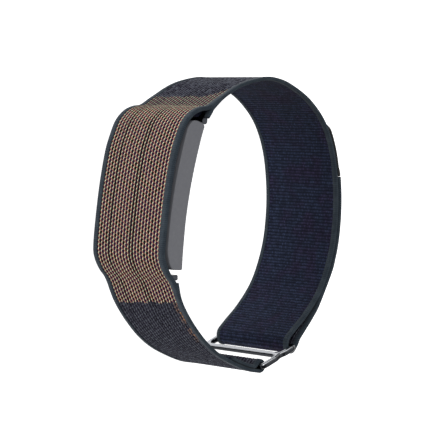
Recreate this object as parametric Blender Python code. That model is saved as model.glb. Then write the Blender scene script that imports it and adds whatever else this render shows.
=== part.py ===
"""Fitness tracker band: a knit strap looped through a three-bar slider, a sensor pod hinged under a
knit cover, and a strap tail with a peel-off end tab. The loop lies on its side, wrist axis along +Z."""

import math

import bmesh
import bpy
from mathutils import Matrix, Vector

MM = 0.001

# Overall sizes, millimetres.
LOOP_HEIGHT = 68.0
BAND_WIDTH = 24.0
DRAWN_HEIGHT = 68.0  # loop height the outline points below are written for
SCALE = LOOP_HEIGHT / DRAWN_HEIGHT

# Strap plies.
STRAP_THICK = 0.7
BINDING_THICK = 0.8
BINDING_WIDTH = 1.1
BINDING_RAMP = 0.2
COVER_THICK = 1.0
COVER_BINDING = 1.1
PLY_GAP = 0.25
END_GAP = 0.4

# Slider.
SLIDER_THICK = 1.1
SLIDER_BAR = 1.1
SLIDER_RAIL = 1.0
RAIL_GAP = 0.3
SLIDER_WAIST = 0.45
SLIDER_CORNER = 1.6
WINDOW_CORNER = 0.8
SLIDER_BEVEL = 0.28
MIDDLE_BAR_AT = 5.9
WRAP_RADIUS = SLIDER_BAR / 2 + PLY_GAP + BINDING_THICK / 2

# End tab.
TAB_THICK = 0.6
HOOK_THICK = 0.25
HOOK_GAP = 0.06
TAB_INSET = 0.6

# Hinge at the pod's top end.
PIN_RADIUS = 0.45
PIN_CLEARANCE = 0.09
KNUCKLE_RADIUS = 0.9
EAR_LENGTH = 2.0
EAR_INSET = 1.6
RAIL_HEAD = 1.0
RAIL_HEAD_WIDE = 1.8
RAIL_NECK = 0.6
RAIL_REACH = 2.9
SLOT_GAP = 0.18

# Pod.
POD_THICK = 4.6
DRAWN_POD_THICK = 4.6  # pod thickness the cover's outline points are written for
POD_LENGTH = 32.8
POD_SIDE_GAP = 0.2
POD_CORNER = 2.1
POD_CHAMFER = 3.6
BASE_THICK = 1.0
SHELL_WALL = 0.9
SPLIT_GAP = 0.15
SIDE_WALL = 1.4
CAVITY_FROM = 2.6
CAVITY_TO = 27.1
POD_BEVEL = 0.35

# Optical sensor on the wrist side.
SENSOR_AT = 15.6
BUMP_HEIGHT = 1.5
BUMP_LONG = 8.4
BUMP_WIDE = 7.6
OPTIC_LONG = 5.6
OPTIC_WIDE = 5.0
WINDOW_THICK = 0.6
FIT_GAP = 0.12

STRAP_LOW = SLIDER_RAIL + RAIL_GAP
STRAP_HIGH = STRAP_LOW + BAND_WIDTH
MID_Z = STRAP_LOW + BAND_WIDTH / 2
POD_LOW = STRAP_LOW + POD_SIDE_GAP
POD_HIGH = STRAP_HIGH - POD_SIDE_GAP
SLIDER_TOP = STRAP_HIGH + STRAP_LOW

# Outline points of the loop, x and y in millimetres, wrist axis at the origin.
UPPER_LINE = [(-12.1, 23.9), (-11.2, 25.0), (-7.7, 27.6), (-2.1, 30.1), (4.6, 31.4), (9.0, 31.1),
              (13.4, 29.6), (19.2, 26.2), (24.2, 20.9), (27.2, 13.9), (28.4, 5.5), (28.2, -2.5),
              (26.8, -9.9), (23.5, -17.5), (18.9, -23.0), (14.6, -26.6), (12.4, -28.5)]
LOWER_LINE = [(-22.2, -13.5), (-21.3, -17.1), (-19.5, -20.4), (-16.8, -24.0), (-13.4, -27.6),
              (-9.6, -30.5), (-5.1, -32.8), (-0.6, -34.6)]
COVER_LINE = [(-12.7, 25.5), (-15.0, 25.2), (-17.6, 24.2), (-20.0, 22.0), (-21.7, 18.7), (-23.1, 15.0),
              (-24.7, 8.0), (-26.0, 0.0), (-26.7, -6.5), (-26.3, -9.2), (-25.0, -11.7), (-23.5, -13.5)]
TAIL_RETURN = [(22.3, -21.4), (19.9, -24.5), (17.4, -27.2), (15.9, -28.8)]
POD_LINE = [(-20.7, -10.7), (-20.35, -6.4), (-19.5, 0.4), (-18.2, 7.0), (-16.6, 13.0), (-14.8, 18.6),
            (-13.7, 21.3)]
LEFT_BAR = (3.2, -34.2)
RIGHT_BAR = (13.2, -30.7)
HINGE_PIN = (-12.7, 22.0)
LAY_TOP = 8.2
LAY_BOTTOM = -16.0
TAB_TOP = 20.8
RETURN_END = -5.5
KEEPER = (-21.6, -12.4)

COLOURS = {
    "knit": (0.055, 0.05, 0.065), "cover": (0.22, 0.16, 0.12), "metal": (0.62, 0.62, 0.63),
    "tab": (0.012, 0.012, 0.014), "pod": (0.13, 0.13, 0.14), "dark": (0.02, 0.02, 0.022),
    "glass": (0.03, 0.03, 0.04), "board": (0.02, 0.12, 0.06), "chip": (0.03, 0.03, 0.03),
    "foil": (0.45, 0.45, 0.47), "gold": (0.75, 0.55, 0.25), "lamp": (0.7, 0.75, 0.6),
    "rubber": (0.03, 0.03, 0.03), "thread": (0.10, 0.10, 0.12),
}


# ---- helpers ---------------------------------------------------------------------------------

def points(pairs):
    """Outline pairs as vectors scaled to the loop height, in millimetres."""
    return [Vector((x, y)) * SCALE for x, y in pairs]


def smooth(line, per):
    """Catmull-Rom curve through the points, per samples to each span."""
    ends = [line[0] * 2 - line[1]] + line + [line[-1] * 2 - line[-2]]
    out = []
    for i in range(1, len(ends) - 2):
        a, b, c, d = ends[i - 1:i + 3]
        for k in range(per):
            t = k / per
            out.append(((2 * b) + (c - a) * t + (2 * a - 5 * b + 4 * c - d) * t * t
                        + (3 * b - a - 3 * c + d) * t ** 3) / 2)
    return out + [line[-1]]


def normals(line):
    """Unit normals to the left of a polyline's direction."""
    out = []
    for i in range(len(line)):
        d = (line[min(i + 1, len(line) - 1)] - line[max(i - 1, 0)]).normalized()
        out.append(Vector((-d.y, d.x)))
    return out


def offset(line, distance):
    """Polyline moved to its left by a distance."""
    return [p + n * distance for p, n in zip(line, normals(line))]


def arc(centre, radius, start, end, count):
    """Points on an arc, angles in degrees."""
    angles = [math.radians(start + (end - start) * i / count) for i in range(count + 1)]
    return [centre + Vector((math.cos(a), math.sin(a))) * radius for a in angles]


def clip_y(line, low, high):
    """Part of a polyline between two heights, cut exactly at both."""
    out = []
    for p, q in zip(line, line[1:]):
        low_t, high_t = sorted(((low - p.y) / (q.y - p.y), (high - p.y) / (q.y - p.y)))
        t0, t1 = max(0.0, low_t), min(1.0, high_t)
        if t1 > t0:
            out.append(p.lerp(q, t0))
            out.append(p.lerp(q, t1))
    kept = [out[0]]
    for p in out[1:]:
        if (p - kept[-1]).length > 0.01:
            kept.append(p)
    return kept


def solid(name, verts, faces, colour, origin=None):
    """Mesh object from millimetre vertices, its own material, its origin on the joint axis."""
    mesh = bpy.data.meshes.new(name)
    base = Vector(origin if origin else (0, 0, 0))
    mesh.from_pydata([(Vector(v) - base) * MM for v in verts], [], faces)
    obj = bpy.data.objects.new(name, mesh)
    obj.location = base * MM
    bpy.context.collection.objects.link(obj)
    bm = bmesh.new()
    bm.from_mesh(mesh)
    bmesh.ops.recalc_face_normals(bm, faces=bm.faces)
    bm.to_mesh(mesh)
    bm.free()
    material = bpy.data.materials.new(name)
    material.use_nodes = True
    material.node_tree.nodes["Principled BSDF"].inputs["Base Color"].default_value = (*COLOURS[colour], 1)
    mesh.materials.append(material)
    return obj


def sweep(name, line, section, colour, origin=None):
    """Cross-section of (offset, z) points carried along a polyline."""
    n = len(section)
    verts = [(*(p + nrm * off), z) for p, nrm in zip(line, normals(line)) for off, z in section]
    faces = [[i * n + j, i * n + (j + 1) % n, (i + 1) * n + (j + 1) % n, (i + 1) * n + j]
             for i in range(len(line) - 1) for j in range(n)]
    faces += [list(range(n)), list(range((len(line) - 1) * n, len(line) * n))]
    return solid(name, verts, faces, colour, origin)


def prism(name, outline, low, high, colour, origin=None):
    """Plane outline raised from one height to another."""
    n = len(outline)
    verts = [(*p, low) for p in outline] + [(*p, high) for p in outline]
    faces = [[i, (i + 1) % n, n + (i + 1) % n, n + i] for i in range(n)]
    faces += [list(range(n))[::-1], list(range(n, 2 * n))]
    return solid(name, verts, faces, colour, origin)


def turned(name, centre, axis, profile, colour, sides=12, stretch=(1.0, 1.0), origin=None):
    """Solid of revolution: (radius, depth) pairs along an axis in the plane, stretched along it and z."""
    side = Vector((-axis.y, axis.x, 0))
    up, along = Vector((0, 0, 1)), Vector((axis.x, axis.y, 0))
    verts, faces = [], []
    for radius, depth in profile:
        for k in range(sides):
            a = 2 * math.pi * (k + 0.5) / sides
            verts.append(Vector(centre) + along * depth + side * radius * stretch[0] * math.cos(a)
                         + up * radius * stretch[1] * math.sin(a))
    for i in range(len(profile) - 1):
        faces += [[i * sides + k, i * sides + (k + 1) % sides, (i + 1) * sides + (k + 1) % sides,
                   (i + 1) * sides + k] for k in range(sides)]
    faces += [list(range(sides)), list(range((len(profile) - 1) * sides, len(profile) * sides))]
    return solid(name, verts, faces, colour, origin)


def apply(obj):
    """Modifiers turned into the object's own mesh."""
    graph = bpy.context.evaluated_depsgraph_get()
    mesh = bpy.data.meshes.new_from_object(obj.evaluated_get(graph))
    obj.modifiers.clear()
    obj.data = mesh


def combine(obj, other, operation):
    """Exact boolean with another object, which is then removed."""
    mod = obj.modifiers.new(operation, "BOOLEAN")
    mod.operation, mod.solver, mod.object = operation, "EXACT", other
    apply(obj)
    bpy.data.objects.remove(other)


def bevel(obj, width, segments, angle=40):
    """Rounded edges."""
    mod = obj.modifiers.new("bevel", "BEVEL")
    mod.width, mod.segments = width * MM, segments
    mod.limit_method, mod.angle_limit = "ANGLE", math.radians(angle)
    apply(obj)


def rounded(corners, radii, segments=3):
    """Closed outline with each corner replaced by an arc-like run of points."""
    out = []
    for i, (p, radius) in enumerate(zip(corners, radii)):
        a, b = corners[i - 1], corners[(i + 1) % len(corners)]
        u, v = (a - p).normalized() * radius, (b - p).normalized() * radius
        if radius == 0:
            out.append(p)
            continue
        for k in range(segments + 1):
            t = k / segments
            out.append((p + u) * (1 - t) ** 2 + p * 2 * t * (1 - t) + (p + v) * t * t)
    return out


def strap_section(thick, binding):
    """Flat knit between two thicker bound edges, as (offset, z) points."""
    h, b = thick / 2, binding / 2
    z = [STRAP_LOW, STRAP_LOW + BINDING_WIDTH, STRAP_LOW + BINDING_WIDTH + BINDING_RAMP]
    up = [STRAP_HIGH - (v - STRAP_LOW) for v in reversed(z)]
    side = [(b, z[0]), (b, z[1]), (h, z[2]), (h, up[0]), (b, up[1]), (b, up[2])]
    return side + [(-off, level) for off, level in reversed(side)]


# ---- pod coordinates: u along the pod from its lower end, v from the wrist side outward -------

POD_CURVE = smooth(points(POD_LINE), 4)
POD_RUN = [0.0]
for first, second in zip(POD_CURVE, POD_CURVE[1:]):
    POD_RUN.append(POD_RUN[-1] + (second - first).length)


def pod_frame(u):
    """Point on the wrist line and the direction pointing away from the wrist there."""
    i = max(k for k in range(len(POD_RUN) - 1) if POD_RUN[k] <= max(u, 0.0))
    t = (u - POD_RUN[i]) / (POD_RUN[i + 1] - POD_RUN[i])
    nrm = normals(POD_CURVE)
    return POD_CURVE[i].lerp(POD_CURVE[i + 1], t), nrm[i].lerp(nrm[i + 1], min(max(t, 0), 1)).normalized()


def pod_point(u, v):
    """Plane position of a pod coordinate."""
    p, away = pod_frame(u)
    return p + away * v


def pod_outline(corners, step=4.4):
    """Closed outline from (u, v) corners, long sides split so that they follow the pod's curve."""
    out = []
    for (u0, v0), (u1, v1) in zip(corners, corners[1:] + corners[:1]):
        parts = max(1, round(abs(u1 - u0) / step))
        out += [pod_point(u0 + (u1 - u0) * k / parts, v0 + (v1 - v0) * k / parts) for k in range(parts)]
    return out


def pod_slab(name, u, v, z, colour):
    """Curved slab inside the pod, z measured from the band's mid-width."""
    outline = pod_outline([(u[0], v[0]), (u[1], v[0]), (u[1], v[1]), (u[0], v[1])])
    return prism(name, outline, MID_Z + z[0], MID_Z + z[1], colour, PIN_ORIGIN)


def pod_disc(name, u, z, profile, colour, sides=12, stretch=(1.0, 1.0), origin=None):
    """Turned piece on the pod, depths measured outward from the wrist line."""
    p, away = pod_frame(u)
    return turned(name, (*p, MID_Z + z), away, profile, colour, sides, stretch, origin or PIN_ORIGIN)


PIN = points([HINGE_PIN])[0]
PIN_ORIGIN = (*PIN, MID_Z)
LEFT, RIGHT = points([LEFT_BAR, RIGHT_BAR])
SLIDER_RUN = (RIGHT - LEFT).normalized()
SLIDER_SPAN = (RIGHT - LEFT).length
UPPER = smooth(points(UPPER_LINE), 2)


# ---- band ------------------------------------------------------------------------------------

def make_strap_upper():
    """Strap from the hinge over the wrist to the slider."""
    sweep("strap_upper", UPPER, strap_section(STRAP_THICK, BINDING_THICK), "knit")


def make_strap_lower():
    """Strap from the pod's lower end to the slider, folded round the left bar and sewn back."""
    low = smooth(points(LOWER_LINE), 2)
    fold = arc(LEFT, WRAP_RADIUS, -105, 105, 8)
    back = offset(low, BINDING_THICK + PLY_GAP / 2)
    back = [p for p in reversed(back) if RETURN_END * SCALE < p.x < (LEFT.x - WRAP_RADIUS)]
    sweep("strap_lower", low + fold + back, strap_section(STRAP_THICK, BINDING_THICK), "knit")
    wrist = offset(back, -(BINDING_THICK / 2 + HOOK_GAP + 0.12))
    for number, part in ((1, 0.15), (2, 0.6)):
        middle, along = wrist[-2].lerp(wrist[-3], part), (wrist[-3] - wrist[-2]).normalized()
        across = Vector((-along.y, along.x))
        box = [middle + along * a * 0.35 + across * c * 0.12 for a, c in ((-1, -1), (1, -1), (1, 1), (-1, 1))]
        prism(f"loop_stitch_{number}", box, STRAP_LOW + 2, STRAP_HIGH - 2, "thread")


def make_cover():
    """Knit cover over the pod."""
    line = offset(smooth(points(COVER_LINE), 2), COVER_THICK / 2 - (POD_THICK - DRAWN_POD_THICK))
    sweep("cover", line, strap_section(COVER_THICK, COVER_BINDING), "cover")


def make_top_link():
    """Crimp bar on the strap's end with two ears and the hinge pin in one piece."""
    toward = (UPPER[0] - PIN).normalized()
    side = Vector((-toward.y, toward.x))
    near, far = KNUCKLE_RADIUS + PIN_CLEARANCE * 2, (UPPER[0] - PIN).length - END_GAP / 2
    bar = [PIN + toward * a + side * b for a, b in ((near, -0.6), (far, -0.6), (far, 0.6), (near, 0.6))]
    link = prism("top_link", bar, STRAP_LOW + EAR_INSET, STRAP_HIGH - EAR_INSET, "metal")
    for low in (STRAP_LOW + EAR_INSET, STRAP_HIGH - EAR_INSET - EAR_LENGTH):
        turn = math.degrees(math.atan2(toward.y, toward.x))
        round_end = arc(PIN, KNUCKLE_RADIUS * 0.86, turn + 100, turn + 260, 6)
        ear = round_end + [PIN + toward * (near + 0.2) - side * 0.5, PIN + toward * (near + 0.2) + side * 0.5]
        combine(link, prism("ear", ear, low, low + EAR_LENGTH, "metal"), "UNION")
    pin = arc(PIN, PIN_RADIUS, 15, 345, 11)
    combine(link, prism("pin", pin, STRAP_LOW + EAR_INSET + 0.5, STRAP_HIGH - EAR_INSET - 0.5, "metal"), "UNION")


def make_catch_bar():
    """Steel keeper at the strap's lower end, held by the pod's magnet."""
    centre = points([KEEPER])[0]
    box = [centre + Vector(c) for c in ((-1.0, -0.6), (0.9, -0.6), (0.9, 0.6), (-1.0, 0.6))]
    bevel(prism("catch_bar", rounded(box, [0.3] * 4, 2), STRAP_LOW + 1.6, STRAP_HIGH - 1.6, "metal"), 0.15, 1)


# ---- pod hinge rail --------------------------------------------------------------------------

def rail_outline(gap):
    """Neck and T-head that join the hinge knuckle to the pod, grown by a gap."""
    root = PIN
    aim = (pod_point(POD_LENGTH - 2.0, 2.3) - root).normalized()
    side = Vector((-aim.y, aim.x))
    neck, head = RAIL_NECK / 2 + gap, RAIL_HEAD_WIDE / 2 + gap
    start, end = RAIL_REACH - gap, RAIL_REACH + RAIL_HEAD + gap
    first = KNUCKLE_RADIUS * 0.8 - gap * 2
    shape = [(first, -neck), (start, -neck), (start, -head), (end, -head), (end, head), (start, head),
             (start, neck), (first, neck)]
    return [root + aim * a + side * b for a, b in shape]


def make_pod_rail():
    """Hinge knuckle with the T-rail that the pod slides onto."""
    low, high = STRAP_LOW + EAR_INSET + EAR_LENGTH + 0.2, STRAP_HIGH - EAR_INSET - EAR_LENGTH - 0.2
    rail = prism("pod_rail", rail_outline(0.0), low, high, "metal", PIN_ORIGIN)
    knuckle = arc(PIN, KNUCKLE_RADIUS, 15, 345, 11)
    combine(rail, prism("knuckle", knuckle, low, high, "metal", PIN_ORIGIN), "UNION")
    hole = arc(PIN, PIN_RADIUS + PIN_CLEARANCE, 15, 345, 11)
    combine(rail, prism("hole", hole, low - 1, high + 1, "metal", PIN_ORIGIN), "DIFFERENCE")


# ---- pod -------------------------------------------------------------------------------------

SCREWS = [(1.25, -8.6), (1.25, 8.6), (28.35, -8.6), (28.35, 8.6)]
CONTACTS = [(25.9, -2.2), (25.9, 2.2)]
PLATE_AT = (4.9, 0.0)


def screw_profile(gap):
    """Countersunk machine screw, head on the wrist side, grown by a gap."""
    return [(0.75 + gap, 0.1 - gap * 4), (0.75 + gap, 0.6), (0.36 + gap, 0.6 + gap), (0.36 + gap, 2.1 + gap)]


def make_pod_shell():
    """Outer half of the pod with its end blocks, T-slot and hollow."""
    split = BASE_THICK + SPLIT_GAP
    top = POD_LENGTH - 2.0
    flat = [(0.0, 0.0), (0.0, POD_THICK - 1.7), (0.9, POD_THICK - 0.9), (POD_CHAMFER * 0.6, POD_THICK - 0.25),
            (POD_CHAMFER, POD_THICK), (POD_LENGTH - POD_CORNER, POD_THICK),
            (POD_LENGTH - POD_CORNER * 0.4, POD_THICK - POD_CORNER * 0.3),
            (POD_LENGTH, POD_THICK - POD_CORNER * 0.95), (POD_LENGTH, 0.5), (POD_LENGTH - 0.5, 0.0)]
    shell = prism("pod_shell", pod_outline(flat), POD_LOW, POD_HIGH, "pod", PIN_ORIGIN)
    bevel(shell, POD_BEVEL, 2, 60)
    recess = pod_outline([(-2.0, -2.0), (top - 1.0, -2.0), (top - 1.0, split), (-2.0, split)])
    combine(shell, prism("recess", recess, POD_LOW - 2, POD_HIGH + 2, "pod", PIN_ORIGIN), "DIFFERENCE")
    hollow = pod_outline([(CAVITY_FROM, -1.0), (CAVITY_TO, -1.0), (CAVITY_TO, POD_THICK - SHELL_WALL),
                          (CAVITY_FROM, POD_THICK - SHELL_WALL)])
    combine(shell, prism("hollow", hollow, POD_LOW + SIDE_WALL, POD_HIGH - SIDE_WALL, "pod", PIN_ORIGIN),
            "DIFFERENCE")
    slot_top = STRAP_HIGH - EAR_INSET - EAR_LENGTH
    combine(shell, prism("slot", rail_outline(SLOT_GAP), POD_LOW - 2, slot_top, "pod", PIN_ORIGIN), "DIFFERENCE")
    for number, (u, z) in enumerate(SCREWS):
        combine(shell, pod_disc(f"hole_{number}", u, z, screw_profile(FIT_GAP), "pod"), "DIFFERENCE")


def make_pod_base():
    """Wrist-side plate with the raised sensor island."""
    end = POD_LENGTH - 3.0 - SPLIT_GAP
    plate = pod_outline([(0.15, 0.0), (end, 0.0), (end, BASE_THICK), (0.15, BASE_THICK)])
    base = prism("pod_base", plate, POD_LOW + 0.1, POD_HIGH - 0.1, "dark", PIN_ORIGIN)
    island = [(1.0, 0.6), (1.0, -BUMP_HEIGHT * 0.45), (0.95, -BUMP_HEIGHT * 0.85), (0.86, -BUMP_HEIGHT)]
    combine(base, pod_disc("island", SENSOR_AT, 0, island, "dark", 24, (BUMP_LONG, BUMP_WIDE)), "UNION")
    well = [(1.0, -4.0), (1.0, 4.0)]
    combine(base, pod_disc("well", SENSOR_AT, 0, well, "dark", 20, (OPTIC_LONG, OPTIC_WIDE)), "DIFFERENCE")
    for number, (u, z) in enumerate(SCREWS):
        combine(base, pod_disc(f"hole_{number}", u, z, screw_profile(FIT_GAP), "dark"), "DIFFERENCE")
    for number, (u, z) in enumerate(CONTACTS):
        hole = [(0.7 + FIT_GAP, -3.0), (0.7 + FIT_GAP, 3.0)]
        combine(base, pod_disc(f"contact_{number}", u, z, hole, "dark"), "DIFFERENCE")
    combine(base, pod_disc("plate", *PLATE_AT, [(1.4 + FIT_GAP, -3.0), (1.4 + FIT_GAP, 3.0)], "dark"), "DIFFERENCE")


def make_optics():
    """Window, light barrier, lamps, photodiodes and their small board in the island's well."""
    long, wide = OPTIC_LONG - FIT_GAP, OPTIC_WIDE - FIT_GAP
    face = [(0.94, -BUMP_HEIGHT - 0.12), (1.0, -BUMP_HEIGHT), (1.0, -BUMP_HEIGHT + WINDOW_THICK)]
    pod_disc("sensor_window", SENSOR_AT, 0, face, "glass", 20, (long, wide))
    pod_disc("sensor_board", SENSOR_AT, 0, [(1.0, 0.3), (1.0, 0.7)], "board", 20, (long, wide))
    ring = pod_disc("light_barrier", SENSOR_AT, 0, [(2.3, -0.75), (2.3, 0.15)], "rubber", 16)
    combine(ring, pod_disc("bore", SENSOR_AT, 0, [(1.9, -2.0), (1.9, 2.0)], "rubber", 16), "DIFFERENCE")
    for number in range(3):
        turn = math.radians(120 * number + 90)
        u, z = SENSOR_AT + 0.95 * math.cos(turn), 0.95 * math.sin(turn)
        pod_slab(f"lamp_{number + 1}", (u - 0.4, u + 0.4), (-0.25, 0.2), (z - 0.4, z + 0.4), "lamp")
    for number, (du, dz) in enumerate(((3.7, 0), (0, 3.5), (-3.7, 0), (0, -3.5))):
        u = SENSOR_AT + du
        pod_slab(f"photodiode_{number + 1}", (u - 0.6, u + 0.6), (-0.2, 0.15), (dz - 0.6, dz + 0.6), "chip")


def make_electronics():
    """Board, cell and chips in the pod's hollow."""
    low = BASE_THICK + SPLIT_GAP
    board = low + 0.15
    pod_slab("main_board", (3.2, 26.7), (board, board + 0.4), (-9.4, 9.4), "board")
    parts = board + 0.5
    pod_slab("battery", (3.4, 13.6), (parts, parts + 1.5), (-8.8, 8.8), "foil")
    pod_slab("processor", (21.4, 25.4), (parts, parts + 0.6), (-6.5, -2.5), "chip")
    pod_slab("memory_chip", (21.6, 24.4), (parts, parts + 0.5), (-1.2, 1.8), "chip")
    pod_slab("power_chip", (21.6, 23.6), (parts, parts + 0.5), (3.2, 5.4), "chip")
    pod_slab("motion_chip", (14.4, 16.4), (parts, parts + 0.6), (5.4, 7.4), "chip")
    pod_slab("radio_antenna", (25.8, 26.4), (parts, parts + 1.1), (-8.6, 8.6), "gold")
    pod_slab("pod_magnet", (0.55, 2.1), (2.2, 3.3), (-6.0, 6.0), "foil")
    for number, (u, z) in enumerate(SCREWS):
        pod_disc(f"screw_{number + 1}", u, z, screw_profile(0.0), "metal")
    for number, (u, z) in enumerate(CONTACTS):
        pod_disc(f"charge_contact_{number + 1}", u, z, [(0.6, -0.15), (0.7, -0.05), (0.7, 0.95)], "gold")
    pod_disc("temperature_plate", *PLATE_AT, [(1.3, -0.12), (1.4, -0.02), (1.4, 0.9)], "metal")


HAPTIC_AT = (17.4, -3.2)


def make_haptics():
    """Buzzer: a fixed can with its shaft, and the half-round weight that spins in it."""
    low = BASE_THICK + SPLIT_GAP + 0.65
    can = pod_disc("haptic_can", *HAPTIC_AT, [(3.6, low), (3.6, low + 1.6)], "foil", 20)
    combine(can, pod_disc("inside", *HAPTIC_AT, [(3.3, low - 1), (3.3, low + 1.3)], "foil", 20), "DIFFERENCE")
    combine(can, pod_disc("shaft", *HAPTIC_AT, [(0.35, low + 0.1), (0.35, low + 1.45)], "foil", 10), "UNION")
    p, away = pod_frame(HAPTIC_AT[0])
    spin_origin = (*(p + away * (low + 0.7)), MID_Z + HAPTIC_AT[1])
    weight = pod_disc("haptic_weight", *HAPTIC_AT, [(3.0, low + 0.35), (3.0, low + 1.0)], "gold", 24,
                      origin=spin_origin)
    cut = pod_slab("half", (HAPTIC_AT[0] - 5, HAPTIC_AT[0] + 5), (low - 1, low + 3), (-9.0, HAPTIC_AT[1] - 0.9), "gold")
    combine(weight, cut, "DIFFERENCE")
    hub = pod_disc("hub", *HAPTIC_AT, [(0.45, low - 1), (0.45, low + 3)], "gold", 10)
    combine(weight, hub, "DIFFERENCE")


def cut_magnet_seat():
    """Pocket for the magnet in the shell's lower end block."""
    seat = pod_slab("seat", (0.43, CAVITY_FROM + 0.5), (2.08, 3.42), (-6.12, 6.12), "pod")
    combine(bpy.data.objects["pod_shell"], seat, "DIFFERENCE")


# ---- slider, tail and tab --------------------------------------------------------------------

def make_slider():
    """Three-bar slider: one rounded plate with two windows, waisted at the middle bar."""
    left, right = -SLIDER_BAR / 2, SLIDER_SPAN + SLIDER_BAR / 2
    top, mid = SLIDER_TOP, MIDDLE_BAR_AT
    corners = [(left, 0), (mid - 1.5, 0), (mid, SLIDER_WAIST), (mid + 1.5, 0), (right, 0),
               (right, top), (mid + 1.5, top), (mid, top - SLIDER_WAIST), (mid - 1.5, top), (left, top)]
    radii = [SLIDER_CORNER, 0.5, 0.5, 0.5, SLIDER_CORNER] * 2
    outline = rounded([Vector(c) for c in corners], radii, 4)
    plate = solid_plate("slider_frame", outline, SLIDER_THICK)
    half = SLIDER_BAR / 2
    for a, b in ((left + SLIDER_BAR, mid - half), (mid + half, right - SLIDER_BAR)):
        box = [Vector(c) for c in ((a, SLIDER_RAIL), (b, SLIDER_RAIL), (b, top - SLIDER_RAIL), (a, top - SLIDER_RAIL))]
        combine(plate, solid_plate("window", rounded(box, [WINDOW_CORNER] * 4, 3), SLIDER_THICK * 3), "DIFFERENCE")
    bevel(plate, SLIDER_BEVEL, 2, 50)


def solid_plate(name, outline, thick):
    """Plate in the slider's plane, from (run, z) outline points."""
    across = Vector((-SLIDER_RUN.y, SLIDER_RUN.x))
    verts = [(*(LEFT + SLIDER_RUN * p.x + across * side * thick / 2), p.y) for side in (-1, 1) for p in outline]
    n = len(outline)
    faces = [[i, (i + 1) % n, n + (i + 1) % n, n + i] for i in range(n)]
    faces += [list(range(n))[::-1], list(range(n, 2 * n))]
    return solid(name, verts, faces, "metal", (*LEFT, MID_Z))


def make_slider_fold():
    """Strap turned round the right bar."""
    wrap = arc(RIGHT, WRAP_RADIUS, 175, 325, 6)
    lead = points([(12.0, -29.2), (11.85, -29.8)])
    out = points([(14.95, -30.4), (15.55, -29.35)])
    line = lead + wrap + out
    sweep("slider_fold", line, strap_section(STRAP_THICK, BINDING_THICK), "knit", (*LEFT, MID_Z))


def tail_offset():
    """Distance between the middles of the strap and of the ply laid on it."""
    return BINDING_THICK + PLY_GAP


def make_tail():
    """Free strap end laid back on the outside of the strap."""
    lay = clip_y(UPPER, LAY_BOTTOM * SCALE, LAY_TOP * SCALE)
    line = offset(lay, tail_offset()) + points(TAIL_RETURN)
    sweep("tail_strap", line, strap_section(STRAP_THICK, BINDING_THICK), "knit", (*RIGHT, MID_Z))


def make_tab():
    """End tab and its hook patch, held to the outside of the strap."""
    lay = clip_y(UPPER, (LAY_TOP + 0.45) * SCALE, TAB_TOP * SCALE)
    hook_in = BINDING_THICK / 2 + PLY_GAP
    tab_in = hook_in + HOOK_THICK + HOOK_GAP
    middle = offset(lay, tab_in + TAB_THICK / 2)
    z0, z1 = STRAP_LOW + TAB_INSET, STRAP_HIGH - TAB_INSET
    h = TAB_THICK / 2
    hinge = (*(offset(lay, tab_in + TAB_THICK)[-1]), MID_Z)
    tab = sweep("end_tab", middle, [(-h, z0), (h, z0), (h, z1), (-h, z1)], "tab", hinge)
    bevel(tab, 0.18, 1, 60)
    patch = clip_y(UPPER, (LAY_TOP + 1.4) * SCALE, (TAB_TOP - 2.0) * SCALE)
    patch = offset(patch, hook_in + HOOK_THICK / 2)
    h = HOOK_THICK / 2
    sweep("hook_patch", patch, [(-h, z0 + 1), (h, z0 + 1), (h, z1 - 1), (-h, z1 - 1)], "tab", hinge)


def centre_on_floor():
    """Every piece moved so that the whole stands centred on the origin, lowest point at zero."""
    graph = bpy.context.evaluated_depsgraph_get()
    graph.update()
    corners = [o.matrix_world @ v.co for o in bpy.data.objects if o.type == "MESH" for v in o.data.vertices]
    low = Vector([min(c[i] for c in corners) for i in range(3)])
    high = Vector([max(c[i] for c in corners) for i in range(3)])
    shift = Vector(((low.x + high.x) / 2, (low.y + high.y) / 2, low.z))
    for obj in bpy.data.objects:
        obj.matrix_world = Matrix.Translation(-shift) @ obj.matrix_world
    print("shift mm", [round(v / MM, 4) for v in shift], "size mm", [round(v / MM, 3) for v in high - low])


def main():
    """Builds every piece."""
    for obj in list(bpy.data.objects):
        bpy.data.objects.remove(obj)
    for make in (make_strap_upper, make_strap_lower, make_cover, make_top_link, make_catch_bar, make_pod_rail,
                 make_pod_shell, cut_magnet_seat, make_pod_base, make_optics, make_electronics, make_haptics,
                 make_slider, make_slider_fold, make_tail, make_tab):
        make()
    bpy.context.view_layer.update()
    centre_on_floor()
    for name in ("pod_rail", "end_tab", "haptic_weight", "slider_frame", "tail_strap"):
        print(name, [round(v / MM, 4) for v in bpy.data.objects[name].location])


main()
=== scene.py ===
"""Visual model of a knit fitness band: strap, pod and its cover, three-bar slider, strap tail and end tab.

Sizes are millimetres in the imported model's frame unless a name says otherwise; meshes are written in metres.
"""

import logging
import math
from dataclasses import dataclass, field
from enum import Enum
from typing import Sequence, Union

import bmesh
import bpy
import numpy as np
from mathutils import Matrix, Vector


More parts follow.
